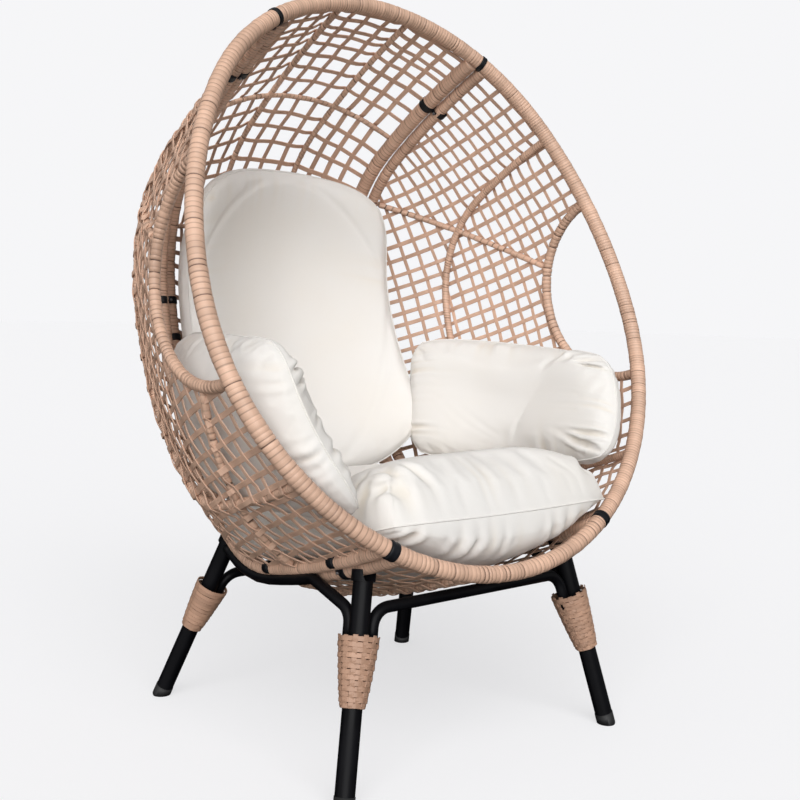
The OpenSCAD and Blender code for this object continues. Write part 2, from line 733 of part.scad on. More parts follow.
// Square table over the middle of the shell between two bearings. A pad grows thicker by swell towards its middle.
function middle_table(span, half_width, thick, swell) =
    let (la = length_at(profile, place_at(span[0])), lb = length_at(profile, place_at(span[1])), n = cushion_steps)
    [for (i = [0:n]) [for (j = [0:n])
        let (
            f = 2 * i / n - 1,
            g = 2 * j / n - 1,
            grow = 1 + swell * (1 - f * f),
            lift = cushion_lift + grow * thick / 2,
            x = f * half_width * (1 - draw_in * (1 - g * g)),
            l = (la + lb) / 2 + g * (lb - la) / 2 * (1 - draw_in * (1 - f * f)),
            t = place(profile, l),
            s = x_below(x, t, lift))
        [shell(s, t, -lift), grow * shell_out(s, t)]]];

module back_cushion() {
    color(cream)
        basket()
            pad(middle_table(back_cushion_span, half_w - back_cushion_inset, back_cushion_t, 0), back_cushion_t);
}

module seat_cushion() {
    color(cream)
        basket()
            pad(middle_table(seat_cushion_span, half_w - seat_cushion_inset, seat_cushion_t, 0.3), seat_cushion_t);
}

// Point of the right wall at depth y and height z, moved in by lift
function wall(y, z, lift) =
    let (t = place_at(atan2(y, z)), x = x_at(norm([y, z]) / norm(at(profile, t)))) [shell(x, t, -lift), shell_out(x, t)];

// Corners of an arm cushion: front top, front foot, rear top, rear foot.
// Each is a depth and a height on the wall, as shares of the rim's half width.
arm_corners = [[0.01, -0.21], [0.065, -0.645], [0.97, 0.14], [0.85, -0.49]];
module arm_cushion(side) {
    n = cushion_steps;
    color(cream)
        basket()
            on(side)
                pad([for (i = [0:n]) [for (j = [0:n])
                    let (
                        f = 0.5 + (i / n - 0.5) * (1 - draw_in * (1 - pow(2 * j / n - 1, 2))),
                        g = 0.5 + (j / n - 0.5) * (1 - draw_in * (1 - pow(2 * i / n - 1, 2))),
                        p = (1 - f) * (1 - g) * arm_corners[0] + f * (1 - g) * arm_corners[1]
                            + (1 - f) * g * arm_corners[2] + f * g * arm_corners[3])
                    wall(half_w * p[0], half_w * p[1], cushion_lift + arm_cushion_t / 2)]], arm_cushion_t);
}

rim_top();
rim_side(left);  // rim_left
rim_side(right);  // rim_right
rim_bottom();
rim_collars();
back_edge(left);  // back_edge_left
back_edge(right);  // back_edge_right
seat_edge(left);  // seat_edge_left
seat_edge(right);  // seat_edge_right
edge_collars();
side_edge(left);  // side_edge_left
side_edge(right);  // side_edge_right
ribs(concat([rim_r / 2], back_rows, [split_l - end_off]));  // back_ribs
ribs(concat([split_l + end_off], seat_rows, [profile_l - rim_r / 2]));  // seat_ribs
cross_ribs(back_rows);  // back_cross_ribs
cross_ribs(seat_rows);  // seat_cross_ribs
end_tube(split_l - end_off);  // back_end_tube
end_tube(split_l + end_off);  // seat_end_tube
side_rib(left);  // side_rib_left
side_rib(right);  // side_rib_right
side_cross_ribs(left);  // side_cross_ribs_left
side_cross_ribs(right);  // side_cross_ribs_right
window_frame(left);  // window_frame_left
window_frame(right);  // window_frame_right
back_weave();
seat_weave();
side_weave(left);  // side_weave_left
side_weave(right);  // side_weave_right
seam_clips();
clip_bolts();
leg(left, front);  // leg_front_left
leg(right, front);  // leg_front_right
leg(left, rear);  // leg_rear_left
leg(right, rear);  // leg_rear_right
cross_stretcher(front);  // front_stretcher
cross_stretcher(rear);  // rear_stretcher
side_stretcher(left);  // left_stretcher
side_stretcher(right);  // right_stretcher
sleeve(left, front);  // sleeve_front_left
sleeve(right, front);  // sleeve_front_right
sleeve(left, rear);  // sleeve_rear_left
sleeve(right, rear);  // sleeve_rear_right
leg_saddles();
foot_glides();
back_cushion();
seat_cushion();
arm_cushion(left);  // arm_cushion_left
arm_cushion(right);  // arm_cushion_right
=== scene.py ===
import bisect
import math
import random

import bmesh
import bpy
from mathutils import Matrix, Vector, noise


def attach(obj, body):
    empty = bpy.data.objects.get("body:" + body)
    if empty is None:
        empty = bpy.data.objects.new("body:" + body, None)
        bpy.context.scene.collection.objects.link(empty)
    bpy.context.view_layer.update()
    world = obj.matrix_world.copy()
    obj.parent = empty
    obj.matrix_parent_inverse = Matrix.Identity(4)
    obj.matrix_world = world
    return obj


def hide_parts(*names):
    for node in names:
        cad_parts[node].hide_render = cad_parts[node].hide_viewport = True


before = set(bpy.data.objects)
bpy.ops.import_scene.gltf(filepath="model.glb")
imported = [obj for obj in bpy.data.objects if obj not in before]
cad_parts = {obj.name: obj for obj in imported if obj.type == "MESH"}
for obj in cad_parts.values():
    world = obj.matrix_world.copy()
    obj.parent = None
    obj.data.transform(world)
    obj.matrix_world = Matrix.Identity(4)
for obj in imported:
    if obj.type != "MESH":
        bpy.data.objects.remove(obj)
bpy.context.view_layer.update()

# ---- sizes of the chair, in metres ----
RIM_HALF_W = 0.536
RIM_RISE = 0.653
FLANK_R = 0.796
LEAN = math.radians(22.3)
RIM_LOW_Z = 0.378
RIM_R = 0.016
COLLAR_L = 0.018
SEAM_X = 0.268
SEAM_GAP = 0.002
EDGE_R = 0.017
SIDE_EDGE_R = 0.012
RIB_X = 0.088
RIB_R = 0.0065
SIDE_RIB_X = 0.420
SIDE_RIB_R = 0.008
CROSS_R = 0.0055
END_R = 0.011
END_GAP = 0.008
WINDOW_H = 0.410
WINDOW_UP = 0.050
WINDOW_R = 0.011
WEAVE_T = 0.004
FOOT_X = 0.340
FOOT_BASE = 0.685
FOOT_SETBACK = 0.067
LEG_R = 0.018
ARCH_R = 0.011
FRONT_DROP = 0.071
REAR_DROP = 0.091
SIDE_BEND_DROP = 0.008
SIDE_END_DROP = 0.031
ARCH_BEND = 0.040
SLEEVE_LOW_DROP = 0.164
FRONT_SLEEVE_DROP = 0.050
REAR_SLEEVE_DROP = 0.029
ARCH_SEAT = 0.022
COLLAR_PROUD = 0.0015
LEFT, RIGHT = -1, 1
FRONT, REAR = -1, 1
SIDES = ((LEFT, "left"), (RIGHT, "right"))
BACK_EDGE_X = SEAM_X - SEAM_GAP / 2 - EDGE_R
SIDE_EDGE_X = SEAM_X + SEAM_GAP / 2 + SIDE_EDGE_R
CUSHION_LIFT = 0.0225
FIT_GAP = 0.0002
# Where the panels' tubes start and end, inside the rim
TUBE_START = 0.008
# Bearings from the rim's middle, in degrees from upright
SPLIT_BEARING = 77.5
BACK_BEARINGS = (26.5, 55)
SEAT_BEARINGS = (110, 143)
SIDE_BEARINGS = (45.5, 147)
CLIP_BEARINGS = (17, 68.6, 138, 161)
LEG_BEARINGS = {FRONT: 167, REAR: 120}
BAR_BEARINGS = (155, 152.5, 150, 147.5, 145, 141.5, 138, 134.5, 131, 128, 125)


# ---- the basket's lines: the same arcs as the frame's own ----
def turn_vector(degrees):
    a = math.radians(degrees)
    return Vector((math.sin(a), math.cos(a)))


def chord(radius, heading, turn):
    a, b = math.radians(heading), math.radians(heading + turn)
    return radius * Vector((math.sin(b) - math.sin(a), math.cos(b) - math.cos(a)))


class ArcChain:
    """Arcs that run on from each other, turning clockwise from level at (0, top)."""

    def __init__(self, top, radii, turns):
        self.radii, self.turns = radii, turns
        self.headings, self.points, self.lengths = [0], [Vector((0, top))], [0]
        for radius, turn in zip(radii, turns):
            self.points.append(self.points[-1] + chord(radius, self.headings[-1], turn))
            self.headings.append(self.headings[-1] + turn)
            self.lengths.append(self.lengths[-1] + radius * math.radians(turn))

    def arc(self, t):
        return max(0, min(int(t), len(self.radii) - 1))

    def heading(self, t):
        i = self.arc(t)
        return self.headings[i] + (t - i) * self.turns[i]

    def at(self, t):
        i = self.arc(t)
        return self.points[i] + chord(self.radii[i], self.headings[i], (t - i) * self.turns[i])

    def place(self, length):
        i = 0
        while i < len(self.radii) - 1 and length >= self.lengths[i + 1]:
            i += 1
        return i + (length - self.lengths[i]) / (self.lengths[i + 1] - self.lengths[i])

    def length_at(self, t):
        i = self.arc(t)
        return self.lengths[i] + (t - i) * (self.lengths[i + 1] - self.lengths[i])


CROWN_R = (RIM_HALF_W ** 2 - 2 * FLANK_R * RIM_HALF_W + RIM_RISE ** 2) / (2 * (RIM_RISE - FLANK_R))
crown_up = RIM_RISE - CROWN_R
flank_turn = math.degrees(math.atan2(crown_up, FLANK_R - RIM_HALF_W))
RIM = ArcChain(RIM_RISE, [CROWN_R, FLANK_R, RIM_HALF_W], [90 - flank_turn, flank_turn, 90])
TOP_SEAM_L = CROWN_R * math.asin(SEAM_X / CROWN_R)
LOW_SEAM_L = RIM.lengths[3] - RIM_HALF_W * math.asin(SEAM_X / RIM_HALF_W)

TURNS = [12, 64, 48, 44, 12]
ROOF_R, BACK_R, SEAT_R = 1.953, 0.870, 2.148
given = chord(ROOF_R, 0, 12) + chord(BACK_R, 76, 48) + chord(SEAT_R, 168, 12)
shoulder_c, tail_c = chord(1, 12, 64), chord(1, 124, 44)
left_over = Vector((-given[0], -RIM_RISE - RIM_HALF_W - given[1]))
det = shoulder_c[0] * tail_c[1] - tail_c[0] * shoulder_c[1]
shoulder_r = (left_over[0] * tail_c[1] - tail_c[0] * left_over[1]) / det
tail_r = (shoulder_c[0] * left_over[1] - left_over[0] * shoulder_c[1]) / det
PROFILE = ArcChain(RIM_RISE, [ROOF_R, shoulder_r, BACK_R, tail_r, SEAT_R], TURNS)
PROFILE_L = PROFILE.lengths[5]


def share(x):
    """Scale of the shell's section at x."""
    return math.sqrt(max(0.0, 1 - (x / RIM_HALF_W) ** 2))


# Bearings of even steps along the profile, to look a place up by its bearing
PLACE_STEPS = 1500
PLACE_BEARINGS = []
for step in range(PLACE_STEPS + 1):
    p = PROFILE.at(5 * step / PLACE_STEPS)
    PLACE_BEARINGS.append(math.degrees(math.atan2(p[0], p[1])))


def place_at(bearing):
    """Place on the profile that is seen at a bearing from the rim's middle."""
    i = max(1, min(PLACE_STEPS, bisect.bisect(PLACE_BEARINGS, bearing)))
    low, high = PLACE_BEARINGS[i - 1], PLACE_BEARINGS[i]
    return 5 * (i - 1 + (bearing - low) / (high - low)) / PLACE_STEPS


def shell_out(x, t):
    k, out = share(x), turn_vector(PROFILE.heading(t))
    q = PROFILE.at(t).dot(out)
    return Vector((x / RIM_HALF_W ** 2, k * out[0] / q, k * out[1] / q)).normalized()


def shell(x, t, lift=0.0):
    k, p = share(x), PROFILE.at(t)
    return Vector((x, k * p[0], k * p[1])) + lift * shell_out(x, t)


def wall_place(w, v):
    """x and place of the right wall at depth w and height v."""
    t = place_at(math.degrees(math.atan2(w, v)))
    return RIM_HALF_W * math.sqrt(max(0.0, 1 - (math.hypot(w, v) / PROFILE.at(t).length) ** 2)), t


def row_heading(h):
    a = PROFILE.headings
    if h < a[1]:
        return 0
    if h < a[2]:
        return 90 * (h - a[1]) / TURNS[1]
    if h < a[3]:
        return 90
    return 90 + 90 * (h - a[3]) / TURNS[3] if h < a[4] else 180


def row_l(length, x):
    """Length along the section at x where the row through length meets it."""
    t = PROFILE.place(length)
    h, k = PROFILE.heading(t), share(x)
    d = math.radians(row_heading(h))
    step = (1 / k - 1) * PROFILE.at(t).dot(Vector((math.cos(d), -math.sin(d))))
    return max(0.0, min(PROFILE_L, length + step / math.cos(math.radians(h) - d)))


rim_reach = RIM_HALF_W * math.sin(LEAN) + RIM_R
rear_t = 1 + (90 - math.degrees(LEAN) - TURNS[0]) / TURNS[1]
rear_reach = PROFILE.at(rear_t).dot(Vector((math.cos(LEAN), math.sin(LEAN)))) + WEAVE_T / 2
RIM_Y = (rim_reach - rear_reach) / 2
RIM_Z = RIM_LOW_Z + RIM_HALF_W * math.cos(LEAN)
BASKET = Matrix.Translation((0, RIM_Y, RIM_Z)) @ Matrix.Rotation(-LEAN, 4, "X")
BASKET_TURN = BASKET.to_3x3()


def length_of(bearing):
    return PROFILE.length_at(place_at(bearing))


SPLIT_L = length_of(SPLIT_BEARING)
END_OFF = END_GAP / 2 + END_R
BACK_ROWS, SEAT_ROWS, SIDE_ROWS = (
    [length_of(b) for b in bearings] for bearings in (BACK_BEARINGS, SEAT_BEARINGS, SIDE_BEARINGS)
)


# ---- materials ----
def node_group(name, inputs):
    """A shader group that gives colour, roughness and height."""
    group = bpy.data.node_groups.new(name, "ShaderNodeTree")
    for label, value in inputs:
        kind = "NodeSocketColor" if isinstance(value, tuple) else "NodeSocketFloat"
        group.interface.new_socket(label, in_out="INPUT", socket_type=kind).default_value = value
    for label, kind in (("Color", "Color"), ("Roughness", "Float"), ("Height", "Float")):
        group.interface.new_socket(label, in_out="OUTPUT", socket_type="NodeSocket" + kind)
    return group, group.nodes.new("NodeGroupInput"), group.nodes.new("NodeGroupOutput")


def add(tree, kind, links=(), **values):
    """A shader node with its settings, and its inputs linked or set."""
    n = tree.nodes.new(kind)
    for key, value in values.items():
        setattr(n, key, value)
    for key, value in dict(links).items():
        if isinstance(value, bpy.types.NodeSocket):
            tree.links.new(value, n.inputs[key])
        else:
            n.inputs[key].default_value = value
    return n


def multiply(tree, a, b):
    return add(tree, "ShaderNodeMath", {0: a, 1: b}, operation="MULTIPLY").outputs[0]


def plus(tree, a, b):
    return add(tree, "ShaderNodeMath", {0: a, 1: b}, operation="ADD").outputs[0]


def blend_colors(tree, fac, a, b):
    return add(tree, "ShaderNodeMix", {0: fac, 6: a, 7: b}, data_type="RGBA").outputs[2]


def ramp(tree, value, low, high, out_low=0.0, out_high=1.0):
    limits = {"From Min": low, "From Max": high, "To Min": out_low, "To Max": out_high}
    return add(tree, "ShaderNodeMapRange", {"Value": value, **limits}).outputs[0]


def attribute(tree, name):
    return add(tree, "ShaderNodeAttribute", attribute_name=name).outputs["Fac"]


def spots(tree, place, scale, detail):
    return add(tree, "ShaderNodeTexNoise", {"Vector": place, "Scale": scale, "Detail": detail}).outputs["Fac"]


def wicker_strip_group():
    """Flat synthetic wicker: streaks along the strip, a tone for each strip, painted shade in the grooves
    between turns and at the ends of strips.
    """
    g, g_in, g_out = node_group(
        "wicker_strip",
        [
            ("Base", (0.8, 0.6, 0.45, 1)), ("Shade", (0.3, 0.17, 0.09, 1)),
            ("Tone Range", 0.12), ("Streak", 0.1), ("Gap", 0.9),
        ],
    )
    tone, grain, gap = (attribute(g, name) for name in ("tone", "grain", "gap"))
    place = add(g, "ShaderNodeTexCoord").outputs["Object"]
    lines = {"W": grain, "Scale": 1.6, "Detail": 3.0}
    streak = add(g, "ShaderNodeTexNoise", lines, noise_dimensions="1D").outputs["Fac"]
    patch = spots(g, place, 9.0, 2.0)
    fibre = spots(g, place, 900.0, 2.0)
    streaks = multiply(g, ramp(g, streak, 0.3, 0.7, -1, 1), g_in.outputs["Streak"])
    value = plus(g, multiply(g, tone, g_in.outputs["Tone Range"]), streaks)
    value = plus(g, value, ramp(g, patch, 0.3, 0.7, -0.05, 0.05))
    value = plus(g, value, 1.0)
    bright = add(g, "ShaderNodeHueSaturation", {"Value": value, "Color": g_in.outputs["Base"]}).outputs[0]
    # Painted shade: grooves between turns and strip ends darken towards the shade colour.
    shaded = blend_colors(g, multiply(g, gap, g_in.outputs["Gap"]), bright, g_in.outputs["Shade"])
    g.links.new(shaded, g_out.inputs["Color"])
    g.links.new(ramp(g, streak, 0.2, 0.8, 0.36, 0.52), g_out.inputs["Roughness"])
    height = plus(g, multiply(g, streak, 0.7), multiply(g, fibre, 0.3))
    g.links.new(height, g_out.inputs["Height"])
    return g


def fine_wear_group():
    """Small uneven spots for plain finishes."""
    g, g_in, g_out = node_group(
        "fine_wear",
        [
            ("Base", (0.03, 0.03, 0.03, 1)), ("Light", (0.06, 0.06, 0.06, 1)),
            ("Grain Scale", 600.0), ("Rough Low", 0.3), ("Rough High", 0.5),
        ],
    )
    place = add(g, "ShaderNodeTexCoord").outputs["Object"]
    wide = spots(g, place, 14.0, 3.0)
    fine = spots(g, place, g_in.outputs["Grain Scale"], 2.0)
    worn = blend_colors(g, ramp(g, wide, 0.35, 0.7), g_in.outputs["Base"], g_in.outputs["Light"])
    g.links.new(worn, g_out.inputs["Color"])
    mixed = plus(g, multiply(g, wide, 0.6), multiply(g, fine, 0.4))
    rough = ramp(g, mixed, 0.3, 0.7, g_in.outputs["Rough Low"], g_in.outputs["Rough High"])
    g.links.new(rough, g_out.inputs["Roughness"])
    g.links.new(fine, g_out.inputs["Height"])
    return g


def cloth_group():
    """Plain woven cushion cover: fine threads both ways, faint slubs, faint warm patches, and painted shade in
    creases and folds.
    """
    g, g_in, g_out = node_group(
        "plain_cover",
        [("Base", (0.9, 0.88, 0.85, 1)), ("Patch And Crease Shade", (0.8, 0.74, 0.66, 1)), ("Threads", 1100.0)],
    )
    place = add(g, "ShaderNodeTexCoord").outputs["Object"]
    crease_shade = attribute(g, "crease_shade")
    threads_in = {"Vector": place, "Scale": g_in.outputs["Threads"]}
    warp = add(g, "ShaderNodeTexWave", threads_in, bands_direction="X").outputs["Fac"]
    weft = add(g, "ShaderNodeTexWave", threads_in, bands_direction="Z").outputs["Fac"]
    slub = spots(g, place, 60.0, 4.0)
    wide = spots(g, place, 5.0, 2.0)
    # Painted shade in creases and folds, plus faint warm patches at random.
    patches_and_crease_shade = plus(g, multiply(g, crease_shade, 0.8), ramp(g, wide, 0.4, 0.7, 0.0, 0.14))
    g.links.new(blend_colors(g, patches_and_crease_shade, g_in.outputs["Base"], g_in.outputs["Patch And Crease Shade"]), g_out.inputs["Color"])
    g.links.new(ramp(g, slub, 0.3, 0.7, 0.8, 0.95), g_out.inputs["Roughness"])
    threads = plus(g, multiply(g, plus(g, warp, weft), 0.3), multiply(g, slub, 0.4))
    g.links.new(threads, g_out.inputs["Height"])
    return g


def finish(name, group, values, bump, distance, **shader):
    """A material whose Principled shader takes colour, roughness and relief from a shared group."""
    m = bpy.data.materials.new(name)
    m.use_nodes = True
    tree = m.node_tree
    bsdf = tree.nodes["Principled BSDF"]
    g = tree.nodes.new("ShaderNodeGroup")
    g.node_tree = group
    for key, value in values.items():
        g.inputs[key].default_value = value
    tree.links.new(g.outputs["Color"], bsdf.inputs["Base Color"])
    tree.links.new(g.outputs["Roughness"], bsdf.inputs["Roughness"])
    relief = {"Height": g.outputs["Height"], "Strength": bump, "Distance": distance}
    tree.links.new(add(tree, "ShaderNodeBump", relief).outputs[0], bsdf.inputs["Normal"])
    for key, value in shader.items():
        bsdf.inputs[key.replace("_", " ")].default_value = value
    return m


STRIP = wicker_strip_group()
WEAR = fine_wear_group()
COVER = cloth_group()
wrap_wicker = finish(
    "wrapped_wicker", STRIP,
    {"Base": (0.64, 0.415, 0.300, 1), "Shade": (0.045, 0.018, 0.011, 1), "Gap": 1.0},
    0.35, 0.0004, Specular_IOR_Level=0.45,
)
weave_wicker = finish(
    "woven_wicker", STRIP,
    {"Base": (0.62, 0.40, 0.290, 1), "Shade": (0.08, 0.03, 0.018, 1), "Streak": 0.07},
    0.3, 0.0003, Specular_IOR_Level=0.4,
)
# A darker copy of the woven wicker: painted shade for the sleeves, low under the basket.
shaded_sleeve_wicker = finish(
    "shaded_sleeve_wicker", STRIP,
    {"Base": (0.42, 0.252, 0.172, 1), "Shade": (0.05, 0.02, 0.012, 1), "Streak": 0.08},
    0.35, 0.0003, Specular_IOR_Level=0.4,
)
black_metal = finish(
    "black_powder_coat", WEAR,
    {"Base": (0.0035, 0.0035, 0.0045, 1), "Light": (0.0055, 0.0055, 0.007, 1), "Grain Scale": 1500.0},
    0.12, 0.0002, Specular_IOR_Level=0.12,
)
black_plastic = finish(
    "black_collar_plastic", WEAR,
    {"Base": (0.006, 0.007, 0.009, 1), "Light": (0.010, 0.011, 0.014, 1), "Rough Low": 0.3, "Rough High": 0.45},
    0.08, 0.0002, Specular_IOR_Level=0.2,
)
foot_rubber = finish(
    "foot_rubber", WEAR,
    {"Base": (0.008, 0.008, 0.009, 1), "Light": (0.016, 0.016, 0.017, 1), "Rough Low": 0.5, "Rough High": 0.7},
    0.2, 0.0003,
)
bolt_steel = finish(
    "bolt_steel", WEAR,
    {"Base": (0.16, 0.16, 0.17, 1), "Light": (0.24, 0.24, 0.25, 1), "Rough Low": 0.35, "Rough High": 0.5},
    0.1, 0.0001, Metallic=1.0,
)
cushion_cover = finish(
    "cushion_cover", COVER, {"Base": (0.765, 0.745, 0.718, 1), "Patch And Crease Shade": (0.72, 0.64, 0.52, 1)}, 0.12, 0.0003,
    Sheen_Weight=0.15, Sheen_Roughness=0.5, Specular_IOR_Level=0.25,
)


# ---- making pieces ----
def put_in_scene(name, data):
    thing = bpy.data.objects.new(name, data)
    bpy.context.scene.collection.objects.link(thing)
    return thing


def mesh_object(name, bm, material):
    mesh = bpy.data.meshes.new(name)
    bm.to_mesh(mesh)
    bm.free()
    mesh.materials.append(material)
    return put_in_scene(name, mesh)


def finish_piece(name, bm, material, *nodes, slot, body="chair", smooth=True):
    """Turns the mesh into a piece that rides on a body and stands for CAD nodes."""
    for f in bm.faces:
        f.smooth = smooth
    piece = mesh_object(name, bm, material)
    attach(piece, body)
    if nodes:
        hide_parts(*nodes)


def new_mesh():
    bm = bmesh.new()
    for layer in ("grain", "gap"):
        bm.verts.layers.float.new(layer)
    bm.faces.layers.float.new("tone")
    return bm


def loft(bm, rings, tones=None, grains=None, painted_shades=None):
    """Skins the given rings of points one after the other and closes the ends."""
    rows, count = len(rings) - 1, len(rings[0])
    plain = [0.0] * len(rings)
    tones, grains, painted_shades = tones or plain, grains or plain, painted_shades or plain
    part = new_mesh()
    grain_layer, painted_shade_layer = part.verts.layers.float["grain"], part.verts.layers.float["gap"]
    tone_layer = part.faces.layers.float["tone"]
    first, last, row_of = {}, {}, {}
    for v in bmesh.ops.create_grid(part, x_segments=count, y_segments=rows, size=1)["verts"]:
        i, j = round((v.co[1] + 1) / 2 * rows), round((v.co[0] + 1) / 2 * count)
        row_of[v] = i
        if j == 0:
            first[i] = v
        if j == count:
            last[i] = v
        v.co = rings[i][j % count]
        v[grain_layer] = grains[i][j % count] if isinstance(grains[i], (list, tuple)) else grains[i]
        # Painted shade of each ring, for the wicker's colour.
        v[painted_shade_layer] = painted_shades[i]
    for f in part.faces:
        f[tone_layer] = tones[max(row_of[v] for v in f.verts)]
    bmesh.ops.weld_verts(part, targetmap={last[i]: first[i] for i in last})
    open_edges = [e for e in part.edges if e.is_boundary]
    for f in bmesh.ops.edgeloop_fill(part, edges=open_edges)["faces"]:
        f[tone_layer] = tones[-1]
    bmesh.ops.recalc_face_normals(part, faces=part.faces)
    piece_mesh = bpy.data.meshes.new("part")
    part.to_mesh(piece_mesh)
    part.free()
    bm.from_mesh(piece_mesh)
    bpy.data.meshes.remove(piece_mesh)


def square_to(v, along):
    """The direction of v, turned square to along."""
    return (v - along * v.dot(along)).normalized()


def way_on(points, i):
    return (points[min(i + 1, len(points) - 1)] - points[max(i - 1, 0)]).normalized()


LEAN_SIDE = 0.8


def circle_ring(centre, along, side, radius, count, tilt=0.0):
    """Points of a ring about centre. tilt leans it along the tube, as a wound strip lies."""
    up = side.cross(along)
    points = []
    for j in range(count):
        a = 2 * math.pi * j / count
        spoke = radius * (math.cos(a) * side + math.sin(a) * up)
        points.append(centre + spoke + along * (tilt * math.cos(a + LEAN_SIDE)))
    return points


# Windings: width of the strip, sides of the tube, depth of the grooves, share of loose turns
RIM_WINDING = (0.006, 20, 0.0006, 0.07)
RIM_LOW_WINDING = (0.0095, 20, 0.0007, 0.16)
EDGE_WINDING = (0.0095, 18, 0.0006, 0.1)
SIDE_EDGE_WINDING = (0.0085, 14, 0.0007, 0.15)
RIB_WINDING = (0.011, 10, 0.0005, 0.15)
CROSS_WINDING = (0.012, 12, 0.0005, 0.12)
SIDE_RIB_WINDING = (0.010, 12, 0.0006, 0.15)
SIDE_CROSS_WINDING = (0.010, 12, 0.0006, 0.2)
WINDOW_WINDING = (0.010, 14, 0.0011, 0.3)
FLAT_OF_TURN = (0.17, 0.83)


def wound_tube(bm, rng, path, start, end, radius, winding, width_of=None):
    """Tube wound with flat strip. path(length) gives a point and a side direction."""
    width, count, groove, loose = winding
    rings, tones, grains, painted_shades = [], [], [], []
    length, tone = start, 0.0

    def ring(at, r, gap, lean):
        at = max(start, min(end, at))
        p, side = path(at)
        q, _ = path(min(at + 0.001, end))
        o, _ = path(max(at - 0.001, start))
        along = (q - o).normalized()
        side = square_to(side, along)
        ends = min(at - start, end - at)
        lean = lean if ends > abs(lean) * 1.5 else 0.0
        rings.append(circle_ring(p, along, side, r, count, lean))
        tones.append(tone)
        grains.append(at * 1000)
        painted_shades.append(gap)

    while length < end - 0.0005:
        base = width_of(length) if width_of else width
        w = min(base * rng.uniform(0.8, 1.22), end - length)
        if end - length - w < base * 0.4:
            w = end - length
        open_gap = rng.random() < loose
        depth = groove * (2.6 if open_gap else rng.uniform(0.5, 1.2))
        # Painted shade in the groove before each turn, full in the open grooves of loose turns.
        groove_shade = 1.0 if open_gap else rng.uniform(0.2, 0.6)
        lift = rng.uniform(-0.00035, 0.00045)
        tone = 0.6 * tone + rng.uniform(-0.7, 0.7)
        lean = width * 0.16 * rng.uniform(0.6, 1.4)
        ring(length, radius - depth, groove_shade, lean)
        for flat in FLAT_OF_TURN:
            ring(length + flat * w, radius + lift, 0.0, lean)
        length += w
    # Half painted shade in the closing groove.
    ring(end, radius - groove, 0.5, 0.0)
    loft(bm, rings, tones, grains, painted_shades)


def smooth_tube(bm, points, side, radius, count):
    rings = []
    for i, p in enumerate(points):
        along = way_on(points, i)
        rings.append(circle_ring(p, along, square_to(side, along), radius, count))
    loft(bm, rings)


def ribbon(bm, points, outs, width, thick, tone, seed):
    """Flat strip through points, facing outs."""
    outline = [(-0.5, 0), (-0.42, 0.5), (0.42, 0.5), (0.5, 0), (0.42, -0.5), (-0.42, -0.5)]
    rings, grains = [], []
    for i, p in enumerate(points):
        along = way_on(points, i)
        side = along.cross(outs[i]).normalized()
        face = side.cross(along)
        rings.append([p + side * (u * width) + face * (v * thick) for u, v in outline])
        grains.append([seed + u * width * 1000 for u, v in outline])
    # Painted shade at both ends of each strip.
    edge = [0.25] + [0.0] * (len(points) - 2) + [0.25]
    loft(bm, rings, [tone] * len(points), grains, edge)


def bevelled(bm, edges, offset, segments):
    options = {"offset_type": "OFFSET", "affect": "EDGES", "profile": 0.5, "material": -1}
    return bmesh.ops.bevel(bm, geom=edges, offset=offset, segments=segments, **options)["verts"]


def wrapped(node, bm):
    """The wound wicker that stands for one CAD node."""
    finish_piece(node + "_wrap", bm, wrap_wicker, node, slot="wrapped_wicker")


def to_chair(p):
    return BASKET @ p


def on_side(side, p):
    """A point or direction of the right side, or its mirror image on the left."""
    return Vector((side * p[0], p[1], p[2]))


# ---- rim ----
TOP_COLLAR_L = 0.011
WIDE_TURN, FINE_TURN = 0.0105, 0.0062
WIDE_TURNS_END = -0.35
COLLAR_RIDGE = 0.0016


def rim_path(length):
    side = RIGHT if length >= 0 else LEFT
    t = RIM.place(abs(length))
    p, h = RIM.at(t), math.radians(RIM.heading(t))
    out = Vector((side * math.sin(h), 0, math.cos(h)))
    return to_chair(Vector((side * p[0], 0, p[1]))), BASKET_TURN @ out


def rim_low_path(length):
    """The lower end of the rim, measured from its lowest point, to the right."""
    return rim_path(math.copysign(RIM.lengths[3] - abs(length), length))


def rim_wrap_width(length):
    """Wide turns on the left, fine ones over the top and down the right."""
    return WIDE_TURN if length < WIDE_TURNS_END else FINE_TURN


def make_rim():
    rng = random.Random(11)
    gap, top_gap = COLLAR_L / 2, TOP_COLLAR_L / 2
    for name, start, end in (
        ("rim_top", -(TOP_SEAM_L - top_gap), TOP_SEAM_L - top_gap),
        ("rim_right", TOP_SEAM_L + top_gap, LOW_SEAM_L - gap),
        ("rim_left", -(LOW_SEAM_L - gap), -(TOP_SEAM_L + top_gap)),
    ):
        bm = new_mesh()
        wound_tube(bm, rng, rim_path, start, end, RIM_R, RIM_WINDING, rim_wrap_width)
        wrapped(name, bm)
    bm = new_mesh()
    half = RIM.lengths[3] - LOW_SEAM_L - gap
    wound_tube(bm, rng, rim_low_path, -half, half, RIM_R, RIM_LOW_WINDING)
    wrapped("rim_bottom", bm)


def collar(bm, path, middle_l, length, radius, proud, count=24):
    """Black ring round a tube, with two soft ridges and rounded ends."""
    outline = [
        (-0.5, 0.2), (-0.47, 0.75), (-0.38, 1.0), (-0.25, 1.12), (-0.1, 1.0), (0, 0.86),
        (0.1, 1.0), (0.25, 1.12), (0.38, 1.0), (0.47, 0.75), (0.5, 0.2),
    ]
    rings = []
    for u, r in outline:
        at = middle_l + u * length
        p, side = path(at)
        along = (path(at + 0.001)[0] - path(at - 0.001)[0]).normalized()
        rings.append(circle_ring(p, along, square_to(side, along), radius + proud * r, count))
    loft(bm, rings)


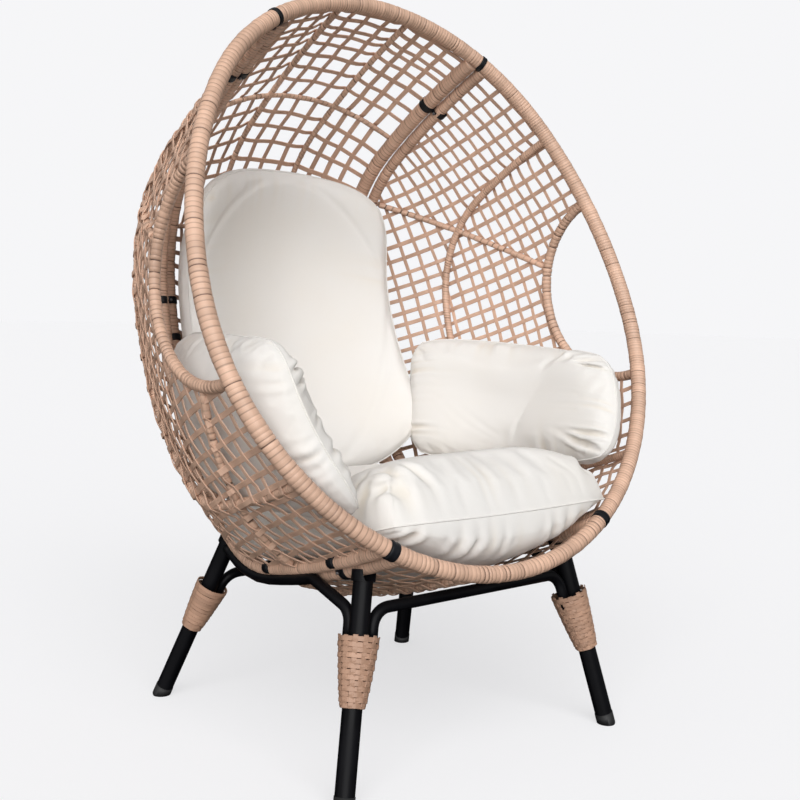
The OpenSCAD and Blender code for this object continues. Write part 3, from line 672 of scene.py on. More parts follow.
def make_collars():
    bm = new_mesh()
    for l, length in ((TOP_SEAM_L, TOP_COLLAR_L), (LOW_SEAM_L, COLLAR_L)):
        for side in (LEFT, RIGHT):
            collar(bm, rim_path, side * l, length, RIM_R, COLLAR_RIDGE)
    finish_piece("rim_collar_rings", bm, black_plastic, "rim_collars", slot="black_collars")
    bm = new_mesh()
    for side in (LEFT, RIGHT):
        tube = section_path(side * BACK_EDGE_X)
        collar(bm, tube, row_l(SPLIT_L, BACK_EDGE_X), COLLAR_L, EDGE_R, COLLAR_RIDGE)
    finish_piece("edge_collar_rings", bm, black_plastic, "edge_collars", slot="black_collars")


# ---- tubes of the panels ----
def section_path(x):
    def path(length):
        t = PROFILE.place(length)
        return to_chair(shell(x, t)), Vector((1, 0, 0))
    return path


def row_path(length):
    """Path across the chair along one row, by x."""
    def path(x):
        t = PROFILE.place(row_l(length, x))
        return to_chair(shell(x, t)), BASKET_TURN @ shell_out(x, t)
    return path


# The side edge tubes press against the thick ones
SIDE_EDGE_SHIFT = 0.0045
# What the winding adds to the radius of a tube
SIDE_EDGE_SWELL = SIDE_CROSS_SWELL = 0.0015
SIDE_RIB_SWELL = 0.001
RIB_GAP = 0.0005
BITE = 0.003


def make_panel_tubes():
    rng = random.Random(5)
    split_l = row_l(SPLIT_L, BACK_EDGE_X)
    tube_end = PROFILE_L - TUBE_START
    for side, word in SIDES:
        for name, start, end in (
            ("back_edge_", TUBE_START, split_l - COLLAR_L / 2),
            ("seat_edge_", split_l + COLLAR_L / 2, tube_end),
        ):
            bm = new_mesh()
            wound_tube(bm, rng, section_path(side * BACK_EDGE_X), start, end, EDGE_R, EDGE_WINDING)
            wrapped(name + word, bm)
        bm = new_mesh()
        path = section_path(side * (SIDE_EDGE_X - SIDE_EDGE_SHIFT))
        radius = SIDE_EDGE_R + SIDE_EDGE_SWELL
        wound_tube(bm, rng, path, TUBE_START, tube_end, radius, SIDE_EDGE_WINDING)
        wrapped("side_edge_" + word, bm)
    for name, spans in (
        ("back_ribs", [TUBE_START] + BACK_ROWS + [SPLIT_L - END_OFF]),
        ("seat_ribs", [SPLIT_L + END_OFF] + SEAT_ROWS + [tube_end]),
    ):
        bm = new_mesh()
        for side in (LEFT, RIGHT):
            for a, b in zip(spans, spans[1:]):
                start, end = row_l(a, RIB_X) + RIB_GAP, row_l(b, RIB_X) - RIB_GAP
                wound_tube(bm, rng, section_path(side * RIB_X), start, end, RIB_R, RIB_WINDING)
        wrapped(name, bm)
    reach = BACK_EDGE_X - EDGE_R + BITE
    for name, rows, radius in (
        ("back_cross_ribs", BACK_ROWS, CROSS_R), ("seat_cross_ribs", SEAT_ROWS, CROSS_R),
        ("back_end_tube", [SPLIT_L - END_OFF], END_R), ("seat_end_tube", [SPLIT_L + END_OFF], END_R),
    ):
        bm = new_mesh()
        for l in rows:
            wound_tube(bm, rng, row_path(l), -reach, reach, radius, CROSS_WINDING)
        wrapped(name, bm)


# ---- side panels ----
def window_share(t, margin):
    p = PROFILE.at(t)
    b, r = math.atan2(p[0], p[1]), WINDOW_H / 2 + margin
    return (WINDOW_UP * math.cos(b) + math.sqrt(r * r - (WINDOW_UP * math.sin(b)) ** 2)) / p.length


def window_path(side):
    """Half circle of the window, from its top to its foot."""
    top, low = rim_x(WINDOW_UP + WINDOW_H / 2), rim_x(WINDOW_UP - WINDOW_H / 2)
    mid = Vector(((top + low) / 2, 0, WINDOW_UP))
    deepest = place_at(math.degrees(math.atan2(WINDOW_H / 2, WINDOW_UP)))
    back = RIM_HALF_W * math.sqrt(1 - window_share(deepest, 0) ** 2)
    upward = Vector((top - low, 0, WINDOW_H)).normalized()
    backward = Vector((back - mid[0], WINDOW_H / 2, 0)).normalized()
    radius = WINDOW_H / 2

    def path(length):
        a = length / radius
        out = math.cos(a) * upward + math.sin(a) * backward
        return to_chair(on_side(side, mid + radius * out)), BASKET_TURN @ on_side(side, out)
    return path


def rim_x(z):
    if z > 0:
        return RIM_HALF_W - FLANK_R + math.sqrt(FLANK_R ** 2 - z * z)
    return math.sqrt(RIM_HALF_W ** 2 - z * z)


CROSS_SPAN = 0.26
WINDOW_START = 0.004


def cross_path(side, l):
    """From the side edge tube to the window along one cross rib."""
    t = PROFILE.place(l)
    k0, k1 = share(SIDE_EDGE_X + SIDE_EDGE_R - BITE), window_share(t, WINDOW_R - BITE)

    def path(f):
        x = RIM_HALF_W * math.sqrt(1 - (k0 + (k1 - k0) * f / CROSS_SPAN) ** 2)
        return to_chair(on_side(side, shell(x, t))), BASKET_TURN @ on_side(side, shell_out(x, t))
    return path


def make_side_tubes():
    rng = random.Random(8)
    spans = [TUBE_START] + SIDE_ROWS + [PROFILE_L - TUBE_START]
    window_l = math.pi * WINDOW_H / 2
    for side, word in SIDES:
        bm = new_mesh()
        path = section_path(side * SIDE_RIB_X)
        for a, b in zip(spans, spans[1:]):
            wound_tube(bm, rng, path, a + RIB_GAP, b - RIB_GAP, SIDE_RIB_R + SIDE_RIB_SWELL, SIDE_RIB_WINDING)
        wrapped("side_rib_" + word, bm)
        bm = new_mesh()
        for l in SIDE_ROWS:
            path = cross_path(side, l)
            wound_tube(bm, rng, path, 0.0, CROSS_SPAN, CROSS_R + SIDE_CROSS_SWELL, SIDE_CROSS_WINDING)
        wrapped("side_cross_ribs_" + word, bm)
        bm = new_mesh()
        path = window_path(side)
        wound_tube(bm, rng, path, WINDOW_START, window_l - WINDOW_START, WINDOW_R, WINDOW_WINDING)
        wrapped("window_frame_" + word, bm)


# ---- weave ----
# Lengths down the back of the strips that run across its upper two fields
TOP_STRIPS = [0.024, 0.050, 0.082, 0.104, 0.136, 0.174, 0.217, 0.259]
MIDDLE_STRIPS = [0.322, 0.370, 0.418, 0.466, 0.521, 0.566]
COLUMNS = (-0.197, -0.1605, -0.124, -0.044, 0.0, 0.044, 0.124, 0.1605, 0.197)
ROW_SPACING = 0.043
STRIP_W = 0.0115
STRIP_T = 0.0022
OVER = STRIP_T / 2 + 0.0003


def clearing(distance, radius):
    """How far a strip bows outward where it passes behind a rod."""
    return (radius + STRIP_T) * math.exp(-(distance / (radius + 0.009)) ** 2)


def rows_between(start, end, rng):
    count = max(1, round((end - start) / ROW_SPACING))
    return [start + (end - start) * (i + rng.uniform(-0.16, 0.16)) / count for i in range(1, count)]


def middle_lift(x, l):
    """Strips lie behind the ribs of the middle panels."""
    over_rows = max(clearing(l - row, CROSS_R) for row in BACK_ROWS + SEAT_ROWS)
    return max(clearing(abs(x) - RIB_X, RIB_R), over_rows)


def middle_point(x, l, up):
    t = PROFILE.place(row_l(max(0.010, min(l, PROFILE_L - 0.010)), x))
    return to_chair(shell(x, t, up + middle_lift(x, l))), BASKET_TURN @ shell_out(x, t)


def middle_weave(name, spans, chosen_rows, rng):
    """Open weave between the thick tubes: rows across and strips along, over and under each other."""
    bm = new_mesh()
    columns = [x + rng.uniform(-0.0035, 0.0035) for x in COLUMNS]
    rows = []
    for i, (a, b) in enumerate(zip(spans, spans[1:])):
        rows += chosen_rows[i] if i < len(chosen_rows) else rows_between(a, b, rng)
    steps = (-0.024, -0.014, -0.006, 0.0, 0.006, 0.014, 0.024)
    near_ribs = [side * (RIB_X + d) for side in (LEFT, RIGHT) for d in steps]
    stations = sorted([-0.243, -0.220, -0.022, 0.022, 0.220, 0.243] + columns + near_ribs)
    for j, l in enumerate(rows):
        skew, strip = rng.uniform(-0.003, 0.003), []
        for x in stations:
            up = 0.0
            if x in columns:
                up = OVER if (columns.index(x) + j) % 2 else -OVER
            strip.append(middle_point(x, l + skew * x / 0.2, up))
        width = STRIP_W * rng.uniform(0.9, 1.08)
        ribbon(bm, *zip(*strip), width, STRIP_T, rng.uniform(-1, 1), j * 37.0)
    marks = [(spans[0], 0.0)] + [(l, 1.0) for l in rows] + [(spans[-1], 0.0)]
    for row in spans[1:-1]:
        marks += [(row + d, 0.0) for d in (-0.012, -0.005, 0.0, 0.005, 0.012)]
    marks.sort()
    for i, x in enumerate(columns):
        strip = []
        for l, woven in marks:
            over = -OVER if woven and (i + rows.index(l)) % 2 else OVER * woven
            strip.append(middle_point(x, l, over))
        width = STRIP_W * rng.uniform(0.9, 1.08)
        ribbon(bm, *zip(*strip), width, STRIP_T, rng.uniform(-1, 1), 1000 + i * 37.0)
    finish_piece(name + "_strips", bm, weave_wicker, name, slot="woven_wicker", smooth=False)


EDGE_SHARE = share(SIDE_EDGE_X + 0.004)
LATTICE_STEP = 0.008
LATTICE_STEPS = 78
LATTICE_GAP = 0.033
# Height at which the uprights start out, and how far the lines run past the rim's plane
MID_HEIGHT = 0.06
PAST_RIM = 0.006


def in_panel(w, v):
    """Whether the right side panel has wall at depth w and height v."""
    if w < 0.004 or w * w + (v - WINDOW_UP) ** 2 < (WINDOW_H / 2) ** 2:
        return False
    t = place_at(math.degrees(math.atan2(w, v)))
    return math.hypot(w, v) / PROFILE.at(t).length <= EDGE_SHARE


def cross_slope(w, v):
    """Change in depth for each step up along a strip square to the bands."""
    x, t = wall_place(w, v)
    a, b, c = shell_out(x, t)
    return -c * b / (a * a + b * b)


def runs(points):
    """Stretches of points that lie on the panel, each ending in the tube beyond it."""
    inside = [in_panel(w, v) for w, v in points]
    out, start = [], None
    for i, here in enumerate(inside + [False]):
        if here and start is None:
            start = i
        if not here and start is not None:
            if i - start > 1:
                out.append(points[max(0, start - 1):i + 1])
            start = None
    return out


def side_lines(rng):
    """Bands at one height, and strips square to them, as depth and height on the wall."""
    bands, uprights = [], []
    v = -0.440
    while v < 0.54:
        bands.append([(i * LATTICE_STEP - PAST_RIM, v) for i in range(LATTICE_STEPS)])
        v += (0.024 if v < -0.30 else LATTICE_GAP) * rng.uniform(0.88, 1.12)
    start = 0.014
    while start < 0.64:
        halves = []
        for sign in (-1, 1):
            w, v, half = start, MID_HEIGHT, []
            for _ in range(LATTICE_STEPS):
                w += cross_slope(max(w, 0.003), v) * LATTICE_STEP * sign
                v += LATTICE_STEP * sign
                if w < -PAST_RIM or abs(v) > 0.56:
                    break
                half.append((w, v))
            halves.append(half)
        uprights.append(halves[0][::-1] + [(start, MID_HEIGHT)] + halves[1])
        start += LATTICE_GAP * rng.uniform(0.88, 1.12)
    return bands, uprights


def side_lift(x, t):
    """Strips lie behind the side rib and its cross ribs."""
    l = PROFILE.length_at(t)
    over_rows = max(clearing(l - row, CROSS_R + 0.001) for row in SIDE_ROWS)
    return max(clearing(1.6 * (x - SIDE_RIB_X), SIDE_RIB_R), over_rows)


def nearest(heights, v):
    j = max(0, min(len(heights) - 1, bisect.bisect(heights, v)))
    if j and v - heights[j - 1] < heights[j] - v:
        j -= 1
    return j


WAVE = 0.0013
BAND_W = {LEFT: 0.0115, RIGHT: 0.0100}
UPRIGHT_W = 0.0088


def side_weave(side, word, rng):
    """Open weave of a side panel: bands and uprights pass over each other in turn."""
    bm = new_mesh()
    bands, uprights = side_lines(rng)
    heights = [line[0][1] for line in bands]
    for upright, lines, width in ((False, bands, BAND_W[side]), (True, uprights, UPRIGHT_W)):
        for i, line in enumerate(lines):
            for run in runs(line):
                strip = []
                for w, v in run:
                    x, t = wall_place(max(w, 0.0), v)
                    if upright:
                        j = nearest(heights, v)
                        off = min(1.0, abs(heights[j] - v) / (LATTICE_GAP / 2))
                        wave = -math.cos(math.pi * (j + i)) * math.cos(off * math.pi / 2)
                    else:
                        wave = math.cos(math.pi * (w / LATTICE_GAP + i))
                    p = on_side(side, shell(x, t, wave * WAVE + side_lift(x, t)))
                    strip.append((to_chair(p), BASKET_TURN @ on_side(side, shell_out(x, t))))
                strip_w = width * rng.uniform(0.9, 1.1)
                ribbon(bm, *zip(*strip), strip_w, STRIP_T, rng.uniform(-1, 1), 2000 + i * 41.0)
    node = "side_weave_" + word
    finish_piece(node + "_strips", bm, weave_wicker, node, slot="woven_wicker", smooth=False)


def make_weave():
    rng = random.Random(21)
    edge = 0.012
    back = [edge] + BACK_ROWS + [SPLIT_L - END_OFF]
    seat = [SPLIT_L + END_OFF] + SEAT_ROWS + [PROFILE_L - edge]
    middle_weave("back_weave", back, [TOP_STRIPS, MIDDLE_STRIPS], rng)
    middle_weave("seat_weave", seat, [], rng)
    for side, word in SIDES:
        side_weave(side, word, rng)


# ---- seam clips ----
STRAP_W = 0.020
BOLT_OUT = 0.0165
# Size and edge softness of the bar and the bolt plate of a clip
CLIP_BLOCKS = (((0.030, 0.0045, 0.016), 0.0012), ((0.012, 0.030, 0.0035), 0.001))


def make_clips():
    straps, bolts = new_mesh(), new_mesh()
    for side in (LEFT, RIGHT):
        for bearing in CLIP_BEARINGS:
            l = length_of(bearing)
            t = PROFILE.place(l)
            collar(straps, section_path(side * BACK_EDGE_X), l, STRAP_W, EDGE_R, COLLAR_PROUD)
            collar(straps, section_path(side * SIDE_EDGE_X), l, STRAP_W, SIDE_EDGE_R, COLLAR_PROUD, 18)
            a, b = shell(side * BACK_EDGE_X, t), shell(side * SIDE_EDGE_X, t)
            u = (b - a).normalized()
            out = square_to(shell_out(side * SEAM_X, t), u)
            along = u.cross(out)
            turn = Matrix((u, out, along)).transposed().to_4x4()
            mid = a + u * (EDGE_R + ((b - a).length - EDGE_R - SIDE_EDGE_R) / 2)
            for size, softness in CLIP_BLOCKS:
                box = bmesh.ops.create_cube(straps, size=1)["verts"]
                bmesh.ops.scale(straps, vec=size, verts=box)
                made = bevelled(straps, list({e for v in box for e in v.link_edges}), softness, 2)
                verts = list(set(made) | {v for v in box if v.is_valid})
                bmesh.ops.transform(straps, matrix=BASKET @ Matrix.Translation(mid) @ turn, verts=verts)
            for z in (-BOLT_OUT, BOLT_OUT):
                head = bmesh.ops.create_cone(
                    bolts, cap_ends=True, segments=16, radius1=0.0036, radius2=0.0030, depth=0.003
                )["verts"]
                upright = Matrix.Rotation(math.copysign(math.pi / 2, -z), 4, "X")
                spot = BASKET @ Matrix.Translation(mid + out * z) @ turn @ upright
                bmesh.ops.transform(bolts, matrix=spot, verts=head)
    finish_piece("seam_clip_straps", straps, black_plastic, "seam_clips", slot="black_collars")
    finish_piece("clip_bolt_heads", bolts, bolt_steel, "clip_bolts", slot="bolt_steel")


# ---- stand ----
FRONT_FOOT_Y = RIM_Y - rim_reach + FOOT_SETBACK


def foot(end):
    return Vector((FOOT_X, FRONT_FOOT_Y if end == FRONT else FRONT_FOOT_Y + FOOT_BASE, 0))


def leg_top(end):
    return to_chair(shell(BACK_EDGE_X, place_at(LEG_BEARINGS[end])))


def leg_dir(end):
    return (leg_top(end) - foot(end)).normalized()


def leg_at(end, z):
    d = leg_dir(end)
    return foot(end) + d * (z / d[2])


FRONT_ARCH_Z, REAR_ARCH_Z = leg_top(FRONT)[2] - FRONT_DROP, leg_top(REAR)[2] - REAR_DROP
SIDE_BEND_Z, SIDE_END_Z = FRONT_ARCH_Z - SIDE_BEND_DROP, leg_top(REAR)[2] - SIDE_END_DROP
SLEEVE_Z = FRONT_ARCH_Z - SLEEVE_LOW_DROP
FRONT_SLEEVE_TOP, REAR_SLEEVE_TOP = FRONT_ARCH_Z - FRONT_SLEEVE_DROP, REAR_ARCH_Z - REAR_SLEEVE_DROP


def beside(end, to, z):
    """Middle of a bar that touches a leg at height z on the side that faces to."""
    d, to = leg_dir(end), Vector(to)
    return leg_at(end, z) + square_to(to, d) * (LEG_R + ARCH_R + FIT_GAP)


def bend(corner, a, b, radius, steps):
    """Points of a bend about a corner, between directions a and b that point away from it."""
    half = math.acos(max(-1, min(1, a.dot(b)))) / 2
    hub = corner + (a + b).normalized() * (radius / math.sin(half))
    pa = corner + a * (radius / math.tan(half)) - hub
    pb = corner + b * (radius / math.tan(half)) - hub
    turn = math.pi - 2 * half
    return [
        hub + (math.sin((1 - i / steps) * turn) * pa + math.sin(i / steps * turn) * pb) / math.sin(turn)
        for i in range(steps + 1)
    ]


def groove(bearing):
    """Where a bar rests between the two tubes of a seam."""
    t = place_at(bearing)
    a, b = shell(BACK_EDGE_X, t), shell(SIDE_EDGE_X, t)
    u, span = (b - a).normalized(), (b - a).length
    ra, rb = (r + COLLAR_PROUD + ARCH_R + FIT_GAP for r in (EDGE_R, SIDE_EDGE_R))
    m = (ra * ra - rb * rb + span * span) / (2 * span)
    return to_chair(a + u * m + square_to(shell_out(SEAM_X, t), u) * math.sqrt(ra * ra - m * m))


def mirrored(points):
    return [on_side(LEFT, p) for p in points]


def paint_black(node):
    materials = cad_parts[node].data.materials
    materials.clear()
    materials.append(black_metal)


def make_bar(name, points, side):
    bm = new_mesh()
    smooth_tube(bm, points, side, ARCH_R, 20)
    finish_piece(name + "_bar", bm, black_metal, name, slot="black_bars")


def make_stand():
    for end, name, top, arch_z in (
        (FRONT, "front_stretcher", FRONT_SLEEVE_TOP, FRONT_ARCH_Z),
        (REAR, "rear_stretcher", REAR_SLEEVE_TOP, REAR_ARCH_Z),
    ):
        d = leg_dir(end)
        start = beside(end, (-1, 0, 0), top - ARCH_SEAT)
        half = [start] + bend(beside(end, (-1, 0, 0), arch_z), -d, Vector((-1, 0, 0)), ARCH_BEND, 12)
        make_bar(name, half + mirrored(half)[::-1], Vector((0, 1, 0)))
    d = leg_dir(FRONT)
    start, corner = (beside(FRONT, (0, 1, 0), z) for z in (FRONT_SLEEVE_TOP - ARCH_SEAT, SIDE_BEND_Z))
    rest = [groove(b) for b in BAR_BEARINGS]
    finish_at = leg_at(REAR, SIDE_END_Z)
    path = [start] + bend(corner, -d, (rest[0] - corner).normalized(), ARCH_BEND, 10) + rest[1:]
    path.append(finish_at + (rest[-1] - finish_at).normalized() * LEG_R * 0.9)
    for side, name in ((LEFT, "left_stretcher"), (RIGHT, "right_stretcher")):
        make_bar(name, path if side == RIGHT else mirrored(path), Vector((1, 0, 0)))
    for end, word in ((FRONT, "front"), (REAR, "rear")):
        for side, hand in SIDES:
            paint_black("leg_%s_%s" % (word, hand))
    paint_black("leg_saddles")
    make_foot_caps()


def make_foot_caps():
    bm = new_mesh()
    for side in (LEFT, RIGHT):
        for end in (FRONT, REAR):
            d, base = on_side(side, leg_dir(end)), on_side(side, foot(end))
            radius = LEG_R + 0.001
            cap = bmesh.ops.create_cone(
                bm, cap_ends=True, segments=40, radius1=radius, radius2=radius, depth=0.030
            )["verts"]
            ring = [e for e in {e for v in cap for e in v.link_edges} if all(v.co[2] < 0 for v in e.verts)]
            made = bevelled(bm, ring, 0.006, 4)
            verts = list({v for v in cap if v.is_valid} | set(made))
            spot = Matrix.Translation(base + d * 0.0085) @ d.to_track_quat("Z", "Y").to_matrix().to_4x4()
            bmesh.ops.transform(bm, matrix=spot, verts=verts)
    everything = list(bm.verts) + list(bm.edges) + list(bm.faces)
    floor_plane = {"plane_co": (0, 0, 0), "plane_no": (0, 0, 1)}
    low = bmesh.ops.bisect_plane(bm, geom=everything, clear_inner=True, **floor_plane)["geom_cut"]
    bmesh.ops.holes_fill(bm, edges=[g for g in low if isinstance(g, bmesh.types.BMEdge)])
    finish_piece("foot_caps", bm, foot_rubber, "foot_glides", slot="rubber_feet")


SLEEVE_COURSES, SLEEVE_STAKES, SLEEVE_SIDES = 13, 12, 48
# How far courses and stakes go in and out, and how deep the sleeve's middle lies
COURSE_WAVE = {FRONT: 0.0010, REAR: 0.0004}
STAKE_WAVE = 0.0011
SLEEVE_SINK = 0.0012
# Which way the sleeve's head lies from the leg, and its radius round leg and bars
SLEEVE_LEAN = {FRONT: Vector((-0.55, 0.55, 0)), REAR: Vector((-0.75, 0, 0))}
SLEEVE_HEAD_R = {FRONT: LEG_R + ARCH_R + 0.0065 + 0.002, REAR: LEG_R + ARCH_R + 0.0065}
SLEEVE_FOOT_R = LEG_R + 0.0035


def make_sleeves():
    """Strips woven round each leg and the bars beside it, in courses, over upright stakes at the front legs."""
    rng = random.Random(31)
    for end, word, top in ((FRONT, "front", FRONT_SLEEVE_TOP), (REAR, "rear", REAR_SLEEVE_TOP)):
        low = leg_at(end, SLEEVE_Z)
        high = leg_at(end, top) + SLEEVE_LEAN[end] * ARCH_R
        swell = SLEEVE_HEAD_R[end] - SLEEVE_FOOT_R
        axis = (high - low).normalized()
        length = (high - low).length
        across = (Vector((1, 0, 0)) - axis * axis[0]).normalized()
        up = axis.cross(across)
        pitch = length / SLEEVE_COURSES
        for side, hand in SIDES:
            bm = new_mesh()

            def facing(angle):
                return math.cos(angle) * across + math.sin(angle) * up

            def spot(h, angle, wave):
                radius = SLEEVE_FOOT_R + swell * max(0.0, h / length) ** 0.75 + (wave - SLEEVE_SINK)
                return on_side(side, low + axis * h + radius * facing(angle))

            for c in range(SLEEVE_COURSES):
                tone, points, outs = rng.uniform(-1, 1), [], []
                slope = rng.uniform(-0.0007, 0.0007)
                for i in range(SLEEVE_SIDES + 1):
                    a = 2 * math.pi * i / SLEEVE_SIDES
                    wave = COURSE_WAVE[end] * math.cos(SLEEVE_STAKES / 2 * a + math.pi * (c % 2))
                    points.append(spot((c + 0.5) * pitch + slope * math.cos(a + c), a, wave))
                    outs.append(on_side(side, facing(a)))
                ribbon(bm, points, outs, pitch * 0.98, 0.0022, tone, 3000 + c * 29.0)
            for s in range(SLEEVE_STAKES if end == FRONT else 0):
                a = 2 * math.pi * (s + 0.5) / SLEEVE_STAKES
                points, outs = [], []
                for c in range(-1, 2 * SLEEVE_COURSES + 2):
                    h = max(-0.001, min(length + rng.uniform(0.001, 0.005), (c / 2) * pitch))
                    wave = 0.0
                    if c % 2 and 0 < c < 2 * SLEEVE_COURSES:
                        turn = math.pi * (s + 0.5) + math.pi * (c // 2 % 2) + math.pi * 0.5
                        wave = -STAKE_WAVE * math.cos(turn)
                    points.append(spot(h, a, wave))
                    outs.append(on_side(side, facing(a)))
                ribbon(bm, points[1:], outs[1:], 0.0095, 0.0018, rng.uniform(-1, 1), 4000 + s * 23.0)
            name = "sleeve_%s_%s" % (word, hand)
            finish_piece(name + "_weave", bm, shaded_sleeve_wicker, name, slot="woven_sleeves", smooth=False)


# ---- cushions ----
PAD_STEPS = 72
BACK_PAD, SEAT_PAD, LEFT_PAD, RIGHT_PAD = 1, 2, 3, 4
# Soft limit of how far the simulation moves each cover
COVER_CAP = {BACK_PAD: 0.003, SEAT_PAD: 0.009, LEFT_PAD: 0.014, RIGHT_PAD: 0.006}
# Depth of the creases along a seam and of the wide dents, and each cover's share of them
GATHER, DENT = 0.022, 0.011
LOOSENESS = {BACK_PAD: 0.3, SEAT_PAD: 0.5, LEFT_PAD: 1.0, RIGHT_PAD: 0.55}
CREASE_REACH, SEAM_HOLD = 0.13, 0.02
WELT_R = 0.0016
# Pinched folds of each cover: place across and down, face, heading, half length, half width and depth.
# Upper faces are -1 and lower faces 1.
FOLDS = {
    BACK_PAD: (),
    SEAT_PAD: (
        (-0.93, 0.84, -1, 70, 0.22, 0.045, 0.014), (-0.80, 0.80, -1, 105, 0.24, 0.04, 0.012),
        (-0.66, 0.86, -1, 80, 0.16, 0.03, 0.008), (0.92, 0.80, -1, 110, 0.16, 0.04, 0.009),
        (-0.86, 0.93, 1, 85, 0.14, 0.03, 0.010), (-0.50, 0.94, 1, 95, 0.12, 0.03, 0.008),
        (-0.36, 0.94, 1, 80, 0.12, 0.025, 0.007), (-0.12, 0.94, 1, 92, 0.12, 0.025, 0.007),
        (0.38, 0.94, 1, 100, 0.12, 0.03, 0.008), (0.52, 0.94, 1, 82, 0.12, 0.025, 0.007),
    ),
    LEFT_PAD: (
        (-0.52, -0.80, -1, 75, 0.26, 0.04, 0.014), (-0.40, -0.84, -1, 100, 0.20, 0.035, 0.012),
        (0.10, -0.90, -1, 95, 0.14, 0.03, 0.007), (0.46, -0.86, -1, 80, 0.18, 0.035, 0.009),
        (0.74, -0.72, -1, 120, 0.24, 0.05, 0.014), (0.88, -0.50, -1, 150, 0.26, 0.05, 0.012),
        (0.86, -0.86, -1, 60, 0.16, 0.04, 0.010),
    ),
    RIGHT_PAD: (
        (-0.80, -0.86, -1, 60, 0.14, 0.035, 0.010), (-0.66, -0.90, -1, 85, 0.12, 0.03, 0.008),
        (-0.84, -0.70, -1, 40, 0.14, 0.035, 0.008), (0.70, -0.88, -1, 95, 0.18, 0.035, 0.012),
        (0.84, -0.80, -1, 120, 0.18, 0.035, 0.011), (0.60, 0.92, -1, 90, 0.10, 0.03, 0.006),
    ),
}


def pad_swell(a, b, fullness):
    """Share of the full thickness at a place in the cushion, from -1 to 1 both ways."""
    return max(0.0, (1 - abs(a) ** 2.8) * (1 - abs(b) ** 2.8)) ** fullness


def ease(s):
    """Spreads steps from -1 to 1 so that they lie closer towards the seam, where the cover creases."""
    return math.sin(s * math.pi * 0.4) / math.sin(math.pi * 0.4)


def round_corner(a, b, cut):
    return a * (1 - cut * abs(b) ** 6), b * (1 - cut * abs(a) ** 6)


def back_pad_point(a, b):
    """Seam surface, upper and lower thickness of the back cushion. a runs across, b runs down."""
    a, b = round_corner(a, b, 0.12)
    top_l, foot_l = length_of(39), length_of(110)
    t = PROFILE.place((top_l + foot_l) / 2 + b * (foot_l - top_l) / 2)
    lift, x = 0.090, a * (0.279 + 0.015 * b)
    s = x
    for _ in range(6):
        s = x + lift * shell_out(s, t)[0]
    return shell(s, t, -lift), shell_out(s, t), 0.066, 0.056


SEAT_REAR_BEARING = 115
SEAT_FRONT = Vector((-0.016, -0.430))
SEAT_REAR_LIFT = 0.132


def seat_pad_point(a, b):
    """The seat cushion lies level from side to side. b runs from its rear to its front seam."""
    a, b = round_corner(a, b, 0.07)
    g = (b + 1) / 2
    low, high = -0.306 + 0.038 * g, 0.306 + 0.012 * g
    front_bearing = 180 + math.degrees(math.atan2(-SEAT_FRONT[0], -SEAT_FRONT[1]))
    bearing = SEAT_REAR_BEARING + (front_bearing - SEAT_REAR_BEARING) * g
    reach = PROFILE.at(place_at(min(bearing, 179.5))).length
    lift = SEAT_REAR_LIFT + (RIM_HALF_W - SEAT_FRONT.length - SEAT_REAR_LIFT) * g
    out2 = turn_vector(bearing)
    w, v = out2 * (reach - lift)
    x = (low + high) / 2 + a * (high - low) / 2
    room = (share(x) - (reach - lift) / reach) * reach - CUSHION_LIFT
    return Vector((x, w, v + 0.006 * a * a)), Vector((0, out2[0], out2[1])), 0.138, max(0.0, min(room, 0.1))


ARM_CORNERS = {
    RIGHT: ((-0.005, -0.136), (-0.005, -0.395), (0.527, 0.108), (0.562, -0.218)),
    LEFT: ((-0.005, -0.098), (-0.005, -0.440), (0.525, 0.108), (0.520, -0.250)),
}
ARM_LIFTS = {RIGHT: (0.106, 0.060, 0.085), LEFT: (0.122, 0.042, 0.092)}
ARM_THICKNESS = {RIGHT: (0.056, 0.056), LEFT: (0.070, 0.056)}


def arm_pad_point(side):
    """Corners and lifts run front top, front foot, rear top, rear foot; a runs down, b runs back."""
    corners, (top_lift, foot_lift, rear_lift) = ARM_CORNERS[side], ARM_LIFTS[side]

    def point(a, b):
        a, b = round_corner(a, b, 0.09)
        f, g = 0.5 + a / 2 * (1 + 0.05 * (1 - b * b)), 0.5 + b / 2 * (1 + 0.05 * (1 - a * a))
        w, v = (
            (1 - f) * (1 - g) * top + f * (1 - g) * foot + (1 - f) * g * rear_top + f * g * rear_foot
            for top, foot, rear_top, rear_foot in zip(*corners)
        )
        x, t = wall_place(max(w, 0.005), v)
        lift = (top_lift + (foot_lift - top_lift) * f) * (1 - g) + rear_lift * g
        p = shell(x, t, -lift) + Vector((0, min(0.0, w - 0.005), 0))
        return on_side(side, p), on_side(side, shell_out(x, t)), *ARM_THICKNESS[side]
    return point


def rounded(p, digits):
    return tuple(round(c, digits) for c in p)


